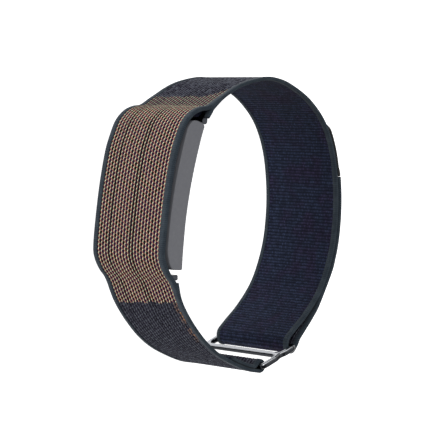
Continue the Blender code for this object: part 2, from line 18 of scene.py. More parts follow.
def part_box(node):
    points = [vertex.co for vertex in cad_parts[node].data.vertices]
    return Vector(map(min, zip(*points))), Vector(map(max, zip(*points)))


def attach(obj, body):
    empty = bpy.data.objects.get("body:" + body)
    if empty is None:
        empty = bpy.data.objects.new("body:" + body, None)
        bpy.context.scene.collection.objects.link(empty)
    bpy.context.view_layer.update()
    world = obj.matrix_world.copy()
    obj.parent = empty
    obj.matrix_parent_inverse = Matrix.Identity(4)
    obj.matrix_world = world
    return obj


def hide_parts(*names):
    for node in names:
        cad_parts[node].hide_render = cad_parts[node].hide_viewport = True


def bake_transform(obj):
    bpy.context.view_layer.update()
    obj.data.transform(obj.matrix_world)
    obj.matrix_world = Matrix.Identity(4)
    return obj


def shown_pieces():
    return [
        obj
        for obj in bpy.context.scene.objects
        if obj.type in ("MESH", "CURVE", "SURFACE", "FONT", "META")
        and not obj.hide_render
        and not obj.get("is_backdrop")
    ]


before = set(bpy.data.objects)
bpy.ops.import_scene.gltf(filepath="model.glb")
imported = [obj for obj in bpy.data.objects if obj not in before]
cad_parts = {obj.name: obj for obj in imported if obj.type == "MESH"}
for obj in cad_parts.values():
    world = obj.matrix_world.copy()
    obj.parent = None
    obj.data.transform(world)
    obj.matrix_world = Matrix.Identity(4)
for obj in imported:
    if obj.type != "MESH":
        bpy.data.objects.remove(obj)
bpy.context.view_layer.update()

LOG = logging.getLogger("band")
MM = 0.001

# Where the outline points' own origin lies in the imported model, and the strap's levels.
SHIFT = np.array([-1.5811, 1.9726])
STRAP_LOW, STRAP_HIGH = 1.3, 25.3
STRAP_WIDTH = STRAP_HIGH - STRAP_LOW
MID_Z = (STRAP_LOW + STRAP_HIGH) / 2
STRAP_HALF = 0.4

# Outline points of the loop, x and y, from the part's own source.
UPPER_LINE = [(-12.1, 23.9), (-11.2, 25.0), (-7.7, 27.6), (-2.1, 30.1), (4.6, 31.4), (9.0, 31.1),
              (13.4, 29.6), (19.2, 26.2), (24.2, 20.9), (27.2, 13.9), (28.4, 5.5), (28.2, -2.5),
              (26.8, -9.9), (23.5, -17.5), (18.9, -23.0), (14.6, -26.6), (12.4, -28.5)]
LOWER_LINE = [(-22.2, -13.5), (-21.3, -17.1), (-19.5, -20.4), (-16.8, -24.0), (-13.4, -27.6),
              (-9.6, -30.5), (-5.1, -32.8), (-0.6, -34.6)]
COVER_LINE = [(-12.7, 25.5), (-15.0, 25.2), (-17.6, 24.2), (-20.0, 22.0), (-21.7, 18.7), (-23.1, 15.0),
              (-24.7, 8.0), (-26.0, 0.0), (-26.7, -6.5), (-26.3, -9.2), (-25.0, -11.7), (-23.5, -13.5)]
TAIL_RETURN = [(22.3, -21.4), (19.9, -24.5), (17.4, -27.2), (15.9, -28.8)]
POD_LINE = [(-20.7, -10.7), (-20.35, -6.4), (-19.5, 0.4), (-18.2, 7.0), (-16.6, 13.0), (-14.8, 18.6),
            (-13.7, 21.3)]
ROOT_END = (-12.95, 22.8)
LEFT_BAR, RIGHT_BAR, HINGE_PIN = (3.2, -34.2), (13.2, -30.7), (-12.7, 22.0)
SPLIT = (12.0, -29.2)  # where the loop is opened beside the slider
TAIL_JOIN = (15.55, -29.35)  # where the turn round the right bar becomes the tail
TAIL_SIDE = 15.0  # the tail lies on the loop's side to the right of this
WRAP_RADIUS = 1.2
WRAP_TURN = 105.0  # how far the strap turns round the left bar to each side, degrees
PLY_STEP = 1.05  # between the middles of two plies laid on each other
SEWN_STEP = 0.925  # the same where the loop is sewn down
SEWN_END = -5.5  # how far back the sewn ply reaches

# Where the knit changes along the outer skin, as outline points.
KNIT_TOP = ((-9.1, 27.5), (-4.6, 29.6))
KNIT_LOW = ((-20.0, -19.3), (-21.4, -18.0))
KNIT_FOLD = (-13.5, 25.5)
COVER_SEAMS = ((-2.6, 30.3), (-18.9, -21.6))

# Map places kept clear for the baked textures: the rim, the face's share, and the two columns of the back.
BAKE_RIM, BAKE_FACE, BAKE_BACK = 0.002, 0.94, (0.97, 0.996)


# ---- values that are numbers, arrays or shader sockets ----------------------------------------

class Shade:
    """One value in a material's nodes; arithmetic on it adds maths nodes."""

    def __init__(self, tree: bpy.types.NodeTree, socket: bpy.types.NodeSocket) -> None:
        """Wraps a socket of a node tree."""
        self.tree, self.socket = tree, socket

    def op(self, kind: str, *others: "Amount") -> "Shade":
        """Adds one maths node.

        Args:
            kind: The node's operation.
            others: The values after this one.

        Returns:
            The node's result.
        """
        node = self.tree.nodes.new("ShaderNodeMath")
        node.operation = kind
        for slot, value in zip(node.inputs, (self, *others)):
            if isinstance(value, Shade):
                self.tree.links.new(value.socket, slot)
            else:
                slot.default_value = float(value)
        return Shade(self.tree, node.outputs[0])

    def __add__(self, other: "Amount") -> "Shade":
        """Sum."""
        return self.op("ADD", other)

    def __sub__(self, other: "Amount") -> "Shade":
        """Difference."""
        return self.op("SUBTRACT", other)

    def __mul__(self, other: "Amount") -> "Shade":
        """Product."""
        return self.op("MULTIPLY", other)

    def __truediv__(self, other: "Amount") -> "Shade":
        """Quotient."""
        return self.op("DIVIDE", other)

    def __rsub__(self, other: "Amount") -> "Shade":
        """Difference from a number."""
        return self.op("MULTIPLY", -1.0).op("ADD", other)

    __radd__, __rmul__ = __add__, __mul__


Amount = Union[float, np.ndarray, Shade]
Colour = tuple[float, float, float]


def floor_of(x: Amount) -> Amount:
    """Whole part, rounded down."""
    return x.op("FLOOR") if isinstance(x, Shade) else np.floor(x)


def fract_of(x: Amount) -> Amount:
    """Part after the point."""
    return x.op("FRACT") if isinstance(x, Shade) else x - np.floor(x)


def size_of(x: Amount) -> Amount:
    """Value without its sign."""
    return x.op("ABSOLUTE") if isinstance(x, Shade) else np.abs(x)


def root_of(x: Amount) -> Amount:
    """Square root."""
    return x.op("SQRT") if isinstance(x, Shade) else np.sqrt(x)


def wave_of(x: Amount) -> Amount:
    """Cosine with a period of one, from 0 to 1, highest at whole numbers.

    Args:
        x: The value.

    Returns:
        The wave's height there.
    """
    if isinstance(x, Shade):
        return (x * (2 * math.pi)).op("COSINE") * 0.5 + 0.5
    return 0.5 + 0.5 * np.cos(2 * math.pi * x)


def larger(x: Amount, y: Amount) -> Amount:
    """The larger of two values."""
    return x.op("MAXIMUM", y) if isinstance(x, Shade) else np.maximum(x, y)


def ease(x: Amount, low: float, high: float) -> Amount:
    """Smooth step.

    Args:
        x: The value.
        low: Where the step starts.
        high: Where it ends.

    Returns:
        0 below low, 1 above high, smooth between.
    """
    if isinstance(x, Shade):
        node = x.tree.nodes.new("ShaderNodeMapRange")
        node.interpolation_type = "SMOOTHSTEP"
        node.inputs["From Min"].default_value, node.inputs["From Max"].default_value = low, high
        x.tree.links.new(x.socket, node.inputs["Value"])
        return Shade(x.tree, node.outputs[0])
    t = np.clip((x - low) / (high - low), 0, 1)
    return t * t * (3 - 2 * t)


def tint(red: float, green: float, blue: float) -> Colour:
    """Linear colour from display values of 0 to 255.

    Args:
        red: Red.
        green: Green.
        blue: Blue.

    Returns:
        The linear colour.
    """
    def line(c: float) -> float:
        """One channel."""
        c /= 255
        return c / 12.92 if c <= 0.04045 else ((c + 0.055) / 1.055) ** 2.4
    return line(red), line(green), line(blue)


# ---- lines in the plane of the loop -------------------------------------------------------------

@dataclass(frozen=True)
class Line:
    """Smooth line in the plane of the loop, its points in order, millimetres."""

    at: np.ndarray

    @classmethod
    def through(cls, points: Sequence, step: float = 0.08, per: int = 16) -> "Line":
        """Curve through control points.

        Args:
            points: The control points.
            step: Spacing of the result.
            per: Samples to each span before the even spacing.

        Returns:
            The evenly spaced line.
        """
        p = np.array(points, float)
        p = np.vstack([2 * p[0] - p[1], p, 2 * p[-1] - p[-2]])
        t = (np.arange(per) / per)[:, None]
        out = [((2 * b) + (c - a) * t + (2 * a - 5 * b + 4 * c - d) * t ** 2
                + (3 * b - a - 3 * c + d) * t ** 3) / 2 for a, b, c, d in zip(p, p[1:], p[2:], p[3:])]
        return cls(np.vstack(out + [p[-2:-1]])).spaced(step)

    def run(self) -> np.ndarray:
        """Distance along the line at each point."""
        return np.concatenate([[0], np.cumsum(np.linalg.norm(np.diff(self.at, axis=0), axis=1))])

    def spaced(self, step: float) -> "Line":
        """The same line with even spacing near a step.

        Args:
            step: The spacing.

        Returns:
            The evenly spaced line.
        """
        run = self.run()
        want = np.linspace(0, run[-1], max(2, round(run[-1] / step)) + 1)
        return Line(np.stack([np.interp(want, run, self.at[:, k]) for k in (0, 1)], 1))

    def left(self) -> np.ndarray:
        """Unit normals to the left of the direction.

        Returns:
            One normal for each point.
        """
        d = np.gradient(self.at, axis=0)
        d /= np.linalg.norm(d, axis=1)[:, None]
        return np.stack([-d[:, 1], d[:, 0]], 1)

    def moved(self, distance: Amount) -> "Line":
        """The line moved to its left by a distance, or by one for each point."""
        return Line(self.at + self.left() * np.reshape(distance, (-1, 1)))

    def back(self) -> "Line":
        """The line in the other direction."""
        return Line(self.at[::-1])

    def near(self, point: tuple[float, float]) -> float:
        """Distance along the line of the place nearest to a point."""
        return float(self.run()[np.argmin(np.linalg.norm(self.at - np.array(point), axis=1))])

    def part(self, low: float, high: float) -> "Line":
        """Stretch between two distances along the line.

        Args:
            low: Where it starts.
            high: Where it ends.

        Returns:
            The stretch.
        """
        run = self.run()
        keep = (run > low + 1e-6) & (run < high - 1e-6)
        want = np.concatenate([[low], run[keep], [high]])
        return Line(np.stack([np.interp(want, run, self.at[:, k]) for k in (0, 1)], 1))


def arc(centre: tuple[float, float], radius: float, start: float, end: float, count: int) -> np.ndarray:
    """Points on an arc.

    Args:
        centre: Its centre.
        radius: Its radius.
        start: First angle, degrees.
        end: Last angle, degrees.
        count: Number of steps.

    Returns:
        The points, one row each.
    """
    a = np.radians(np.linspace(start, end, count + 1))
    return np.array(centre) + radius * np.stack([np.cos(a), np.sin(a)], 1)


# ---- meshes ------------------------------------------------------------------------------------

def mesh_piece(name: str, verts: np.ndarray, quads: np.ndarray, rings: Sequence[Sequence[int]] = (),
               maps: dict[str, np.ndarray] | None = None, flat: int = 0) -> bpy.types.Object:
    """Object from arrays.

    Args:
        name: The piece's name.
        verts: Vertices, millimetres, one row each.
        quads: Four-sided faces, one row each.
        rings: Faces with more sides, which are left flat.
        maps: Map coordinates for each vertex, by layer name.
        flat: Number of quads at the end of the list that are left flat.

    Returns:
        The object, in the scene.
    """
    mesh = bpy.data.meshes.new(name)
    loops = np.concatenate([np.asarray(quads, np.int32).ravel(), *(np.asarray(r, np.int32) for r in rings)])
    counts = np.array([4] * len(quads) + [len(r) for r in rings], np.int32)
    mesh.vertices.add(len(verts))
    mesh.vertices.foreach_set("co", (np.asarray(verts) * MM).astype(np.float32).ravel())
    mesh.loops.add(len(loops))
    mesh.loops.foreach_set("vertex_index", loops.astype(np.int32))
    mesh.polygons.add(len(counts))
    mesh.polygons.foreach_set("loop_start", np.concatenate([[0], np.cumsum(counts)[:-1]]).astype(np.int32))
    smooth = np.ones(len(counts), bool)
    smooth[len(quads) - flat:] = False
    mesh.polygons.foreach_set("use_smooth", smooth)
    for layer, places in (maps or {}).items():
        made = mesh.uv_layers.new(name=layer)
        made.uv.foreach_set("vector", np.asarray(places, np.float32)[loops].ravel())
    mesh.update(calc_edges=True)
    mesh.validate()
    return placed(name, mesh)


def placed(name: str, mesh: bpy.types.Mesh) -> bpy.types.Object:
    """New object of a mesh, in the scene.

    Args:
        name: The object's name.
        mesh: Its mesh.

    Returns:
        The object.
    """
    obj = bpy.data.objects.new(name, mesh)
    bpy.context.scene.collection.objects.link(obj)
    return obj


def outward(obj: bpy.types.Object) -> bpy.types.Object:
    """The object with all its faces turned outward.

    Args:
        obj: The object.

    Returns:
        The same object.
    """
    bm = bmesh.new()
    bm.from_mesh(obj.data)
    bmesh.ops.recalc_face_normals(bm, faces=bm.faces)
    bm.to_mesh(obj.data)
    bm.free()
    return obj


def settled(obj: bpy.types.Object) -> bpy.types.Object:
    """The object with its modifiers turned into mesh.

    Args:
        obj: The object.

    Returns:
        The same object.
    """
    graph = bpy.context.evaluated_depsgraph_get()
    graph.update()
    mesh = bpy.data.meshes.new_from_object(obj.evaluated_get(graph))
    obj.modifiers.clear()
    obj.data = mesh
    return obj


def combined(obj: bpy.types.Object, other: bpy.types.Object, operation: str) -> bpy.types.Object:
    """Exact boolean of two objects; the second is removed.

    Args:
        obj: The object that is kept.
        other: The object that is used up.
        operation: The boolean's operation.

    Returns:
        The kept object.
    """
    mod = obj.modifiers.new("cut", "BOOLEAN")
    mod.operation, mod.solver, mod.object = operation, "EXACT", other
    settled(obj)
    bpy.data.objects.remove(other)
    return obj


def shaded(obj: bpy.types.Object, sharp: float) -> bpy.types.Object:
    """Smooth shading, broken at edges sharper than an angle in degrees.

    Args:
        obj: The piece.
        sharp: The angle.

    Returns:
        The piece.
    """
    obj.data.shade_smooth()
    obj.data.set_sharp_from_angle(angle=math.radians(sharp))
    return obj


def softened(obj: bpy.types.Object, width: float, segments: int, angle: float) -> bpy.types.Object:
    """Rounded edges and smooth shading.

    Args:
        obj: The piece.
        width: Bevel width.
        segments: Its segments.
        angle: Edges sharper than this are rounded, degrees.

    Returns:
        The piece.
    """
    mod = obj.modifiers.new("round", "BEVEL")
    mod.width, mod.segments, mod.limit_method = width * MM, segments, "ANGLE"
    mod.angle_limit, mod.harden_normals = math.radians(angle), False
    return shaded(settled(obj), angle)


def ring_faces(rows: int, count: int) -> np.ndarray:
    """Quads between rows of closed rings of count vertices.

    Args:
        rows: Number of rings.
        count: Vertices in each ring.

    Returns:
        The quads, one row each.
    """
    i, j = np.meshgrid(np.arange(rows - 1), np.arange(count), indexing="ij")
    a, b = i * count + j, i * count + (j + 1) % count
    return np.stack([a, b, b + count, a + count], -1).reshape(-1, 4)


def rounded_prism(name: str, outline: np.ndarray, low: float, high: float, radius: float,
                  steps: int = 4) -> bpy.types.Object:
    """Plane outline raised between two levels, its rims rounded.

    Args:
        name: The piece's name.
        outline: Closed outline, counter-clockwise.
        low: Lower level.
        high: Upper level.
        radius: Rim radius.
        steps: Steps in each rim.

    Returns:
        The object.
    """
    n = len(outline)
    ahead = np.roll(outline, -1, 0) - np.roll(outline, 1, 0)
    ahead /= np.maximum(np.linalg.norm(ahead, axis=1), 1e-9)[:, None]
    inward = np.stack([-ahead[:, 1], ahead[:, 0]], 1)
    turn = np.linspace(0, math.pi / 2, steps + 1)
    levels = [(radius * (1 - math.sin(a)), low + radius * (1 - math.cos(a))) for a in turn]
    levels = levels if radius > 0 else [(0.0, low)]
    levels += [(inset, high + low - z) for inset, z in reversed(levels)]
    verts = np.vstack([np.column_stack([outline + inward * inset, np.full(n, z)]) for inset, z in levels])
    top = (len(levels) - 1) * n
    return outward(mesh_piece(name, verts, ring_faces(len(levels), n),
                              [list(range(n))[::-1], list(range(top, top + n))]))


def cornered(corners: Sequence, radii: Sequence[float], steps: int = 6) -> np.ndarray:
    """Closed outline with rounded corners.

    Args:
        corners: The corners.
        radii: How far each corner is cut back along its sides.
        steps: Steps in each corner.

    Returns:
        The outline's points.
    """
    c, out = np.array(corners, float), []
    for i, (p, radius) in enumerate(zip(c, radii)):
        a, b = c[i - 1], c[(i + 1) % len(c)]
        u = (a - p) / np.linalg.norm(a - p) * radius
        v = (b - p) / np.linalg.norm(b - p) * radius
        out += [p] if radius == 0 else [(p + u) * (1 - t) ** 2 + p * 2 * t * (1 - t) + (p + v) * t * t
                                        for t in np.linspace(0, 1, steps + 1)]
    return np.array(out)


def tube(name: str, path: np.ndarray, radius: Amount, sides: int = 8) -> bpy.types.Object:
    """Round thread or wire along a path.

    Args:
        name: The piece's name.
        path: Points, one row each.
        radius: One radius, or one for each point.
        sides: Sides of its section.

    Returns:
        The object.
    """
    ahead = np.gradient(path, axis=0)
    ahead /= np.linalg.norm(ahead, axis=1)[:, None]
    helper = np.where(np.abs(ahead[:, 2:3]) > 0.9, [[1.0, 0, 0]], [[0, 0, 1.0]])
    side = np.cross(ahead, helper)
    side /= np.linalg.norm(side, axis=1)[:, None]
    up = np.cross(side, ahead)
    a = 2 * math.pi * np.arange(sides) / sides
    r = np.broadcast_to(np.asarray(radius, float), len(path))[:, None, None]
    ring = side[:, None] * np.cos(a)[None, :, None] + up[:, None] * np.sin(a)[None, :, None]
    verts = (path[:, None] + ring * r).reshape(-1, 3)
    last = (len(path) - 1) * sides
    return outward(mesh_piece(name, verts, ring_faces(len(path), sides),
                              [list(range(sides)), list(range(last, last + sides))]))


# ---- finishes ----------------------------------------------------------------------------------

class Graph:
    """A material being built, with short calls for its nodes."""

    def __init__(self, name: str) -> None:
        """Starts an empty material of that name."""
        self.material = bpy.data.materials.new(name)
        self.material.use_nodes = True
        self.tree = self.material.node_tree
        self.shader = self.tree.nodes["Principled BSDF"]

    def node(self, kind: str, **inputs: Union[float, Shade, bpy.types.NodeSocket]) -> bpy.types.Node:
        """Adds a node and feeds its inputs by name, underscores for spaces.

        Args:
            kind: The node's type.
            inputs: The inputs' values.

        Returns:
            The node.
        """
        node = self.tree.nodes.new(kind)
        for name, value in inputs.items():
            self.feed(node.inputs[name.replace("_", " ")], value)
        return node

    def feed(self, slot: bpy.types.NodeSocket, value: object) -> None:
        """Links a value to an input, or sets it there.

        Args:
            slot: The input.
            value: A number, colour, value or socket.
        """
        if isinstance(value, Shade):
            value = value.socket
        if isinstance(value, bpy.types.NodeSocket):
            self.tree.links.new(value, slot)
        elif isinstance(value, tuple) and len(value) == 3 and slot.type == "RGBA":
            slot.default_value = (*value, 1.0)
        else:
            slot.default_value = value

    def weave(self) -> tuple[Shade, Shade]:
        """Distances along and across the cloth, millimetres, from the piece's own map.

        Returns:
            The two distances.
        """
        place = self.tree.nodes.new("ShaderNodeUVMap")
        place.uv_map = "Weave"
        parts = self.node("ShaderNodeSeparateXYZ", Vector=place.outputs["UV"])
        return Shade(self.tree, parts.outputs["X"]), Shade(self.tree, parts.outputs["Y"])

    def noise(self, scale: float, detail: float, stretch: Colour = (1, 1, 1)) -> Shade:
        """Noise over the piece's own coordinates.

        Args:
            scale: Features in a millimetre.
            detail: Octaves.
            stretch: Scale along each axis.

        Returns:
            The noise, about 0.5.
        """
        place = self.node("ShaderNodeTexCoord")
        scaled = self.node("ShaderNodeMapping", Vector=place.outputs["Object"], Scale=stretch)
        made = self.node("ShaderNodeTexNoise", Vector=scaled.outputs[0], Scale=scale / MM, Detail=detail,
                         Roughness=0.5)
        return Shade(self.tree, made.outputs[0])

    def random(self, x: Shade, y: Amount) -> Shade:
        """One random number from 0 to 1 for each pair of whole numbers.

        Args:
            x: The first whole number.
            y: The second.

        Returns:
            The random number.
        """
        pair = self.node("ShaderNodeCombineXYZ", X=x, Y=y)
        made = self.tree.nodes.new("ShaderNodeTexWhiteNoise")
        made.noise_dimensions = "2D"
        self.feed(made.inputs["Vector"], pair.outputs[0])
        return Shade(self.tree, made.outputs["Value"])

    def mixed(self, share: Amount, first: object, second: object) -> bpy.types.NodeSocket:
        """Colour between two by a share.

        Args:
            share: Share of the second colour.
            first: The first colour.
            second: The second colour.

        Returns:
            The colour's socket.
        """
        node = self.tree.nodes.new("ShaderNodeMix")
        node.data_type = "RGBA"
        for slot, value in zip((node.inputs[0], node.inputs[6], node.inputs[7]), (share, first, second)):
            self.feed(slot, value)
        return node.outputs[2]

    def bumped(self, height: Amount, distance: float, strength: float = 1.0) -> None:
        """Feeds the shader's normal from a height, distance in millimetres."""
        node = self.node("ShaderNodeBump", Height=height, Distance=distance * MM, Strength=strength)
        self.feed(self.shader.inputs["Normal"], node.outputs[0])

    def finish(self, **inputs: object) -> bpy.types.Material:
        """Feeds the shader's inputs by name, underscores for spaces.

        Args:
            inputs: The inputs' values.

        Returns:
            The material.
        """
        for name, value in inputs.items():
            self.feed(self.shader.inputs[name.replace("_", " ")], value)
        return self.material


@dataclass(frozen=True)
class Palette:
    """Colours of one knit: ground, dash, loop, and the holes' colours, which are painted shade, near black in
    the deepest holes.
    """

    ground: Colour
    dash: Colour
    loop: Colour
    hole: Colour
    deep_hole_shade: Colour


# In both palettes the two hole colours are painted shade in the knit's holes.
BRIGHT = Palette(ground=tint(84, 54, 56), dash=tint(224, 156, 136), loop=tint(250, 255, 210),
                 hole=tint(32, 6, 40), deep_hole_shade=tint(1, 1, 4))
DUSK = Palette(ground=tint(58, 59, 70), dash=tint(80, 82, 95), loop=tint(102, 107, 116),
               hole=tint(30, 29, 40), deep_hole_shade=tint(16, 16, 26))


@dataclass(frozen=True)
class Knit:
    """Jacquard knit: columns across the strap, each half a row off its neighbour."""

    column: float = 1.01
    row: float = 0.96
    lanes: tuple[int, ...] = (5, 12, 13)
    hole_depth: float = 0.15
    loop_height: float = 0.05
    top_ends: tuple[float, float] = (0.0, 0.0)
    low_ends: tuple[float, float] = (0.0, 0.0)
    fold: float = 0.0
    hole_oval: tuple[float, float] = (0.58, 0.60)
    link_oval: tuple[float, float] = (0.30, 0.20)
    loop_oval: tuple[float, float] = (0.27, 0.30)
    groove: tuple[float, float] = (0.24, 0.44)
    wale: tuple[float, float] = (0.22, 0.42)
    far_turn: tuple[float, float] = (0.70, 1.06)
    ragged: float = 0.35
    fleck_side: tuple[float, float] = (20.4, 22.6)
    fleck_end: tuple[float, float] = (10.0, 13.0)
    fleck: Colour = tint(186, 136, 92)
    # Reach of the painted shade before and after the fold.
    fold_shade_run: tuple[float, float] = (0.5, 5.5)

    def cell(self, x: Amount, y: Amount) -> tuple[Amount, Amount, Amount, Amount]:
        """Where a place lies in the staggered lattice.

        Args:
            x: Place across, in columns.
            y: Place along, in rows.

        Returns:
            Column number, row number, and the offsets from the cell's middle, across and along.
        """
        column = floor_of(x)
        row = y + fract_of(column * 0.5)
        return column, floor_of(row), fract_of(x) - 0.5, fract_of(row) - 0.5

    def spot(self, x: Amount, y: Amount, oval: tuple[float, float]) -> Amount:
        """Oval spot in each cell, 1 at its middle and 0 past its rim.

        Args:
            x: Place across, in columns.
            y: Place along, in rows.
            oval: The spot's reach across and along.

        Returns:
            The spot's share.
        """
        _, _, across, along = self.cell(x, y)
        across, along = across / oval[0], along / oval[1]
        return 1.0 - ease(root_of(across * across + along * along), 0.58, 1.05)

    def lane(self, column: Amount) -> Amount:
        """1 in the columns whose holes run together into a groove.

        Args:
            column: The column's number.

        Returns:
            1 in a groove's column, 0 elsewhere.
        """
        found = column * 0.0
        for number in self.lanes:
            found = larger(found, 1.0 - ease(size_of(column - float(number)), 0.3, 0.6))
        return found

    def masks(self, along: Amount, across: Amount) -> tuple[Amount, Amount, Amount]:
        """How much of hole, dash and loop a place on the cloth holds.

        Args:
            along: Distance along the cloth.
            across: Distance from its far edge.

        Returns:
            The three shares.
        """
        x, y = across / self.column, along / self.row
        column, _, off, _ = self.cell(x, y)
        lane = self.lane(column) * ease(along, self.top_ends[0] - 2.5, self.top_ends[0]) * (
            1.0 - ease(along, self.low_ends[0], self.low_ends[0] + 1.5))
        groove = 1.0 - ease(size_of(off), *self.groove)
        hole = larger(self.spot(x, y, self.hole_oval), groove * lane)
        link = self.spot(x, y + 0.5, self.link_oval) * 0.55
        dash = larger(ease(size_of(off), *self.wale), link) * (1.0 - lane * 0.3)
        loop = self.spot(x - 0.5, y - 0.25, self.loop_oval)
        return hole, dash, loop

    def relief(self, along: np.ndarray, across: np.ndarray) -> np.ndarray:
        """Height of the cloth's face.

        Args:
            along: Distances along the cloth.
            across: Distances from its far edge.

        Returns:
            Heights in millimetres.
        """
        hole, dash, loop = self.masks(along, across)
        return self.loop_height * np.maximum(dash * 0.8, loop) - self.hole_depth * hole * (1 - 0.8 * loop)

    def material(self, name: str) -> bpy.types.Material:
        """The knit's finish: bright between its ends, dark beyond them, flecks past the lower end, with
        painted shade in its holes and at the fold near the cover's top.

        Args:
            name: The material's name.

        Returns:
            The material.
        """
        g = Graph(name)
        along, across = g.weave()
        x, y = across / self.column, along / self.row
        column, row, _, _ = self.cell(x, y)
        lane = self.lane(column)
        hole, dash, loop = self.masks(along, across)
        ragged = g.random(column, 3.0) * (2 * self.ragged) - self.ragged
        share = across / STRAP_WIDTH
        far_out = ease(share, *self.far_turn)
        top = far_out * (self.top_ends[1] - self.top_ends[0]) + self.top_ends[0] + ragged
        low = share * (self.low_ends[1] - self.low_ends[0]) + self.low_ends[0] + ragged
        bright = ease(along - top, -0.15, 0.15) * (1.0 - ease(along - low, -0.15, 0.15))
        each, twin = g.random(column, row), g.random(row + 31.0, column)
        past = ease(along - low, 0.0, 0.2) * (1.0 - ease(along - low, *self.fleck_end))
        fleck = past * ease(across, *self.fleck_side) * ease(twin, 0.58, 0.62)
        blur, fibre, wander = g.noise(3.5, 3.0), g.noise(14.0, 2.0), g.noise(0.8, 3.0)
        loose = self.masks(along + wander * 1.2 - 0.6, across + wander * 0.8 - 0.4)

        def worn(p: Palette, deepest: float, hole: Shade, dash: Shade, loop: Shade) -> bpy.types.NodeSocket:
            """One palette laid on the lattice, with painted shade in its holes.

            Args:
                p: The palette.
                deepest: Share of the holes that aren't the deepest.
                hole: Share of hole.
                dash: Share of dash.
                loop: Share of loop.

            Returns:
                The colour.
            """
            ground = g.mixed(fibre, tuple(c * 0.65 for c in p.ground), tuple(c * 1.35 for c in p.ground))
            dashes = g.mixed(each, tuple(c * 0.72 for c in p.dash), p.dash)
            loops = g.mixed(twin, tuple(c * 0.75 for c in p.loop), p.loop)
            # Painted shade in the holes: dark, and near black in a share of them and along the grooves.
            holes = g.mixed(larger(ease(each, deepest, deepest + 0.15), lane * 0.7), p.hole, p.deep_hole_shade)
            face = g.mixed(dash, ground, dashes)
            return g.mixed(hole, g.mixed(loop, face, loops), holes)

        dark = g.mixed(fleck * larger(loop, dash * 0.4), worn(DUSK, 0.5, *loose), self.fleck)
        colour = g.mixed(bright, dark, worn(BRIGHT, 0.62, hole, dash, loop))
        # Painted shade at the fold: the bright knit is darkened up to a little past the fold, and its loops
        # and dashes are darkened less.
        fold_shade = (1.0 - ease(along, self.fold - self.fold_shade_run[0], self.fold + self.fold_shade_run[1])) * bright * (
            1.0 - larger(loop, dash * 0.5) * 0.6) * 0.72
        # Random blotches of soil and the painted shade at the fold pull the colour towards near black.
        soil_and_fold_shade = g.mixed(ease(blur, 0.3, 0.7) * 0.25 + fold_shade, colour, (0.02, 0.018, 0.03))
        g.bumped(fibre * 0.4 + loop * 0.3 + dash * 0.3 - hole * 0.6, 0.05, 0.6)
        return g.finish(Base_Color=soil_and_fold_shade, Roughness=fibre * 0.25 + 0.62, Sheen_Weight=0.04,
                        Sheen_Roughness=0.4, Specular_IOR_Level=0.06)


@dataclass(frozen=True)
class Ribbing:
    """Ribbed lining: ribs across the strap, each a row of fine stitches."""

    rib: float = 0.77
    stitch: float = 0.52
    height: float = 0.12

    def parts(self, along: Amount, across: Amount) -> tuple[Amount, Amount, Amount, Amount]:
        """Shape of the ribs at a place.

        Args:
            along: Distance along the cloth.
            across: Distance from its far edge.

        Returns:
            The crest, the stitch in it, the rib's number and the stitch's number.
        """
        y = along / self.rib
        number = floor_of(y)
        x = across / self.stitch + fract_of(number * 0.5)
        crest = wave_of(y - 0.5)
        return crest, wave_of(x), number, floor_of(x + 0.5)

    def relief(self, along: np.ndarray, across: np.ndarray) -> np.ndarray:
        """Height of the ribs."""
        crest, stitch, _, _ = self.parts(along, across)
        return self.height * (crest * (0.72 + 0.28 * stitch) - 0.75)

    def material(self, name: str) -> bpy.types.Material:
        """The lining's finish: navy ribs with plum patches, and painted shade in the channels between them.

        Args:
            name: The material's name.

        Returns:
            The material.
        """
        g = Graph(name)
        along, across = g.weave()
        wander = g.noise(0.9, 2.0) * 0.5 - 0.25
        crest, stitch, number, loop = self.parts(along + wander, across + wander)
        each = g.random(number, loop)
        plum, fibre = ease(g.noise(0.22, 3.0), 0.42, 0.68), g.noise(16.0, 2.0)
        # The light tone is the yarn on the rib crests; the dark tone is painted shade in the channels and
        # between stitches.
        light = g.mixed(plum, tint(58, 68, 96), tint(62, 58, 88))
        dark = g.mixed(plum, tint(6, 8, 18), tint(14, 9, 24))
        ribs_and_channel_shade = g.mixed((crest * 0.75 + 0.25) * (stitch * 0.7 + 0.3), dark, light)
        spun = g.mixed(each * 0.62, ribs_and_channel_shade, tint(9, 11, 22))
        g.bumped(crest * stitch + fibre * 0.5, 0.04, 0.5)
        return g.finish(Base_Color=spun, Roughness=fibre * 0.2 + 0.7, Sheen_Weight=0.04, Sheen_Roughness=0.45,
                        Specular_IOR_Level=0.05)


@dataclass(frozen=True)
class Tape:
    """Bound edge: soft folded tape with fine cross ribs."""

    pitch: float = 0.46
    height: float = 0.007
    body: Colour = tint(50, 59, 67)
    shadow: Colour = tint(32, 39, 47)
    worn: Colour = tint(68, 77, 84)

    def material(self, name: str) -> bpy.types.Material:
        """The tape's finish, lighter where the fold is worn.

        Args:
            name: The material's name.

        Returns:
            The material.
        """
        g = Graph(name)
        along, _ = g.weave()
        rib = wave_of(along / self.pitch)
        fibre, patch = g.noise(15.0, 3.0), g.noise(0.5, 3.0)
        ground = g.mixed(rib * 0.6 + fibre * 0.4, self.shadow, self.body)
        rubbed = g.mixed(ease(patch, 0.35, 0.75) * 0.35, ground, self.worn)
        g.bumped(rib * 0.5 + fibre, 0.035, 0.6)
        return g.finish(Base_Color=rubbed, Roughness=fibre * 0.2 + 0.66, Sheen_Weight=0.06,
                        Sheen_Roughness=0.5, Specular_IOR_Level=0.08)


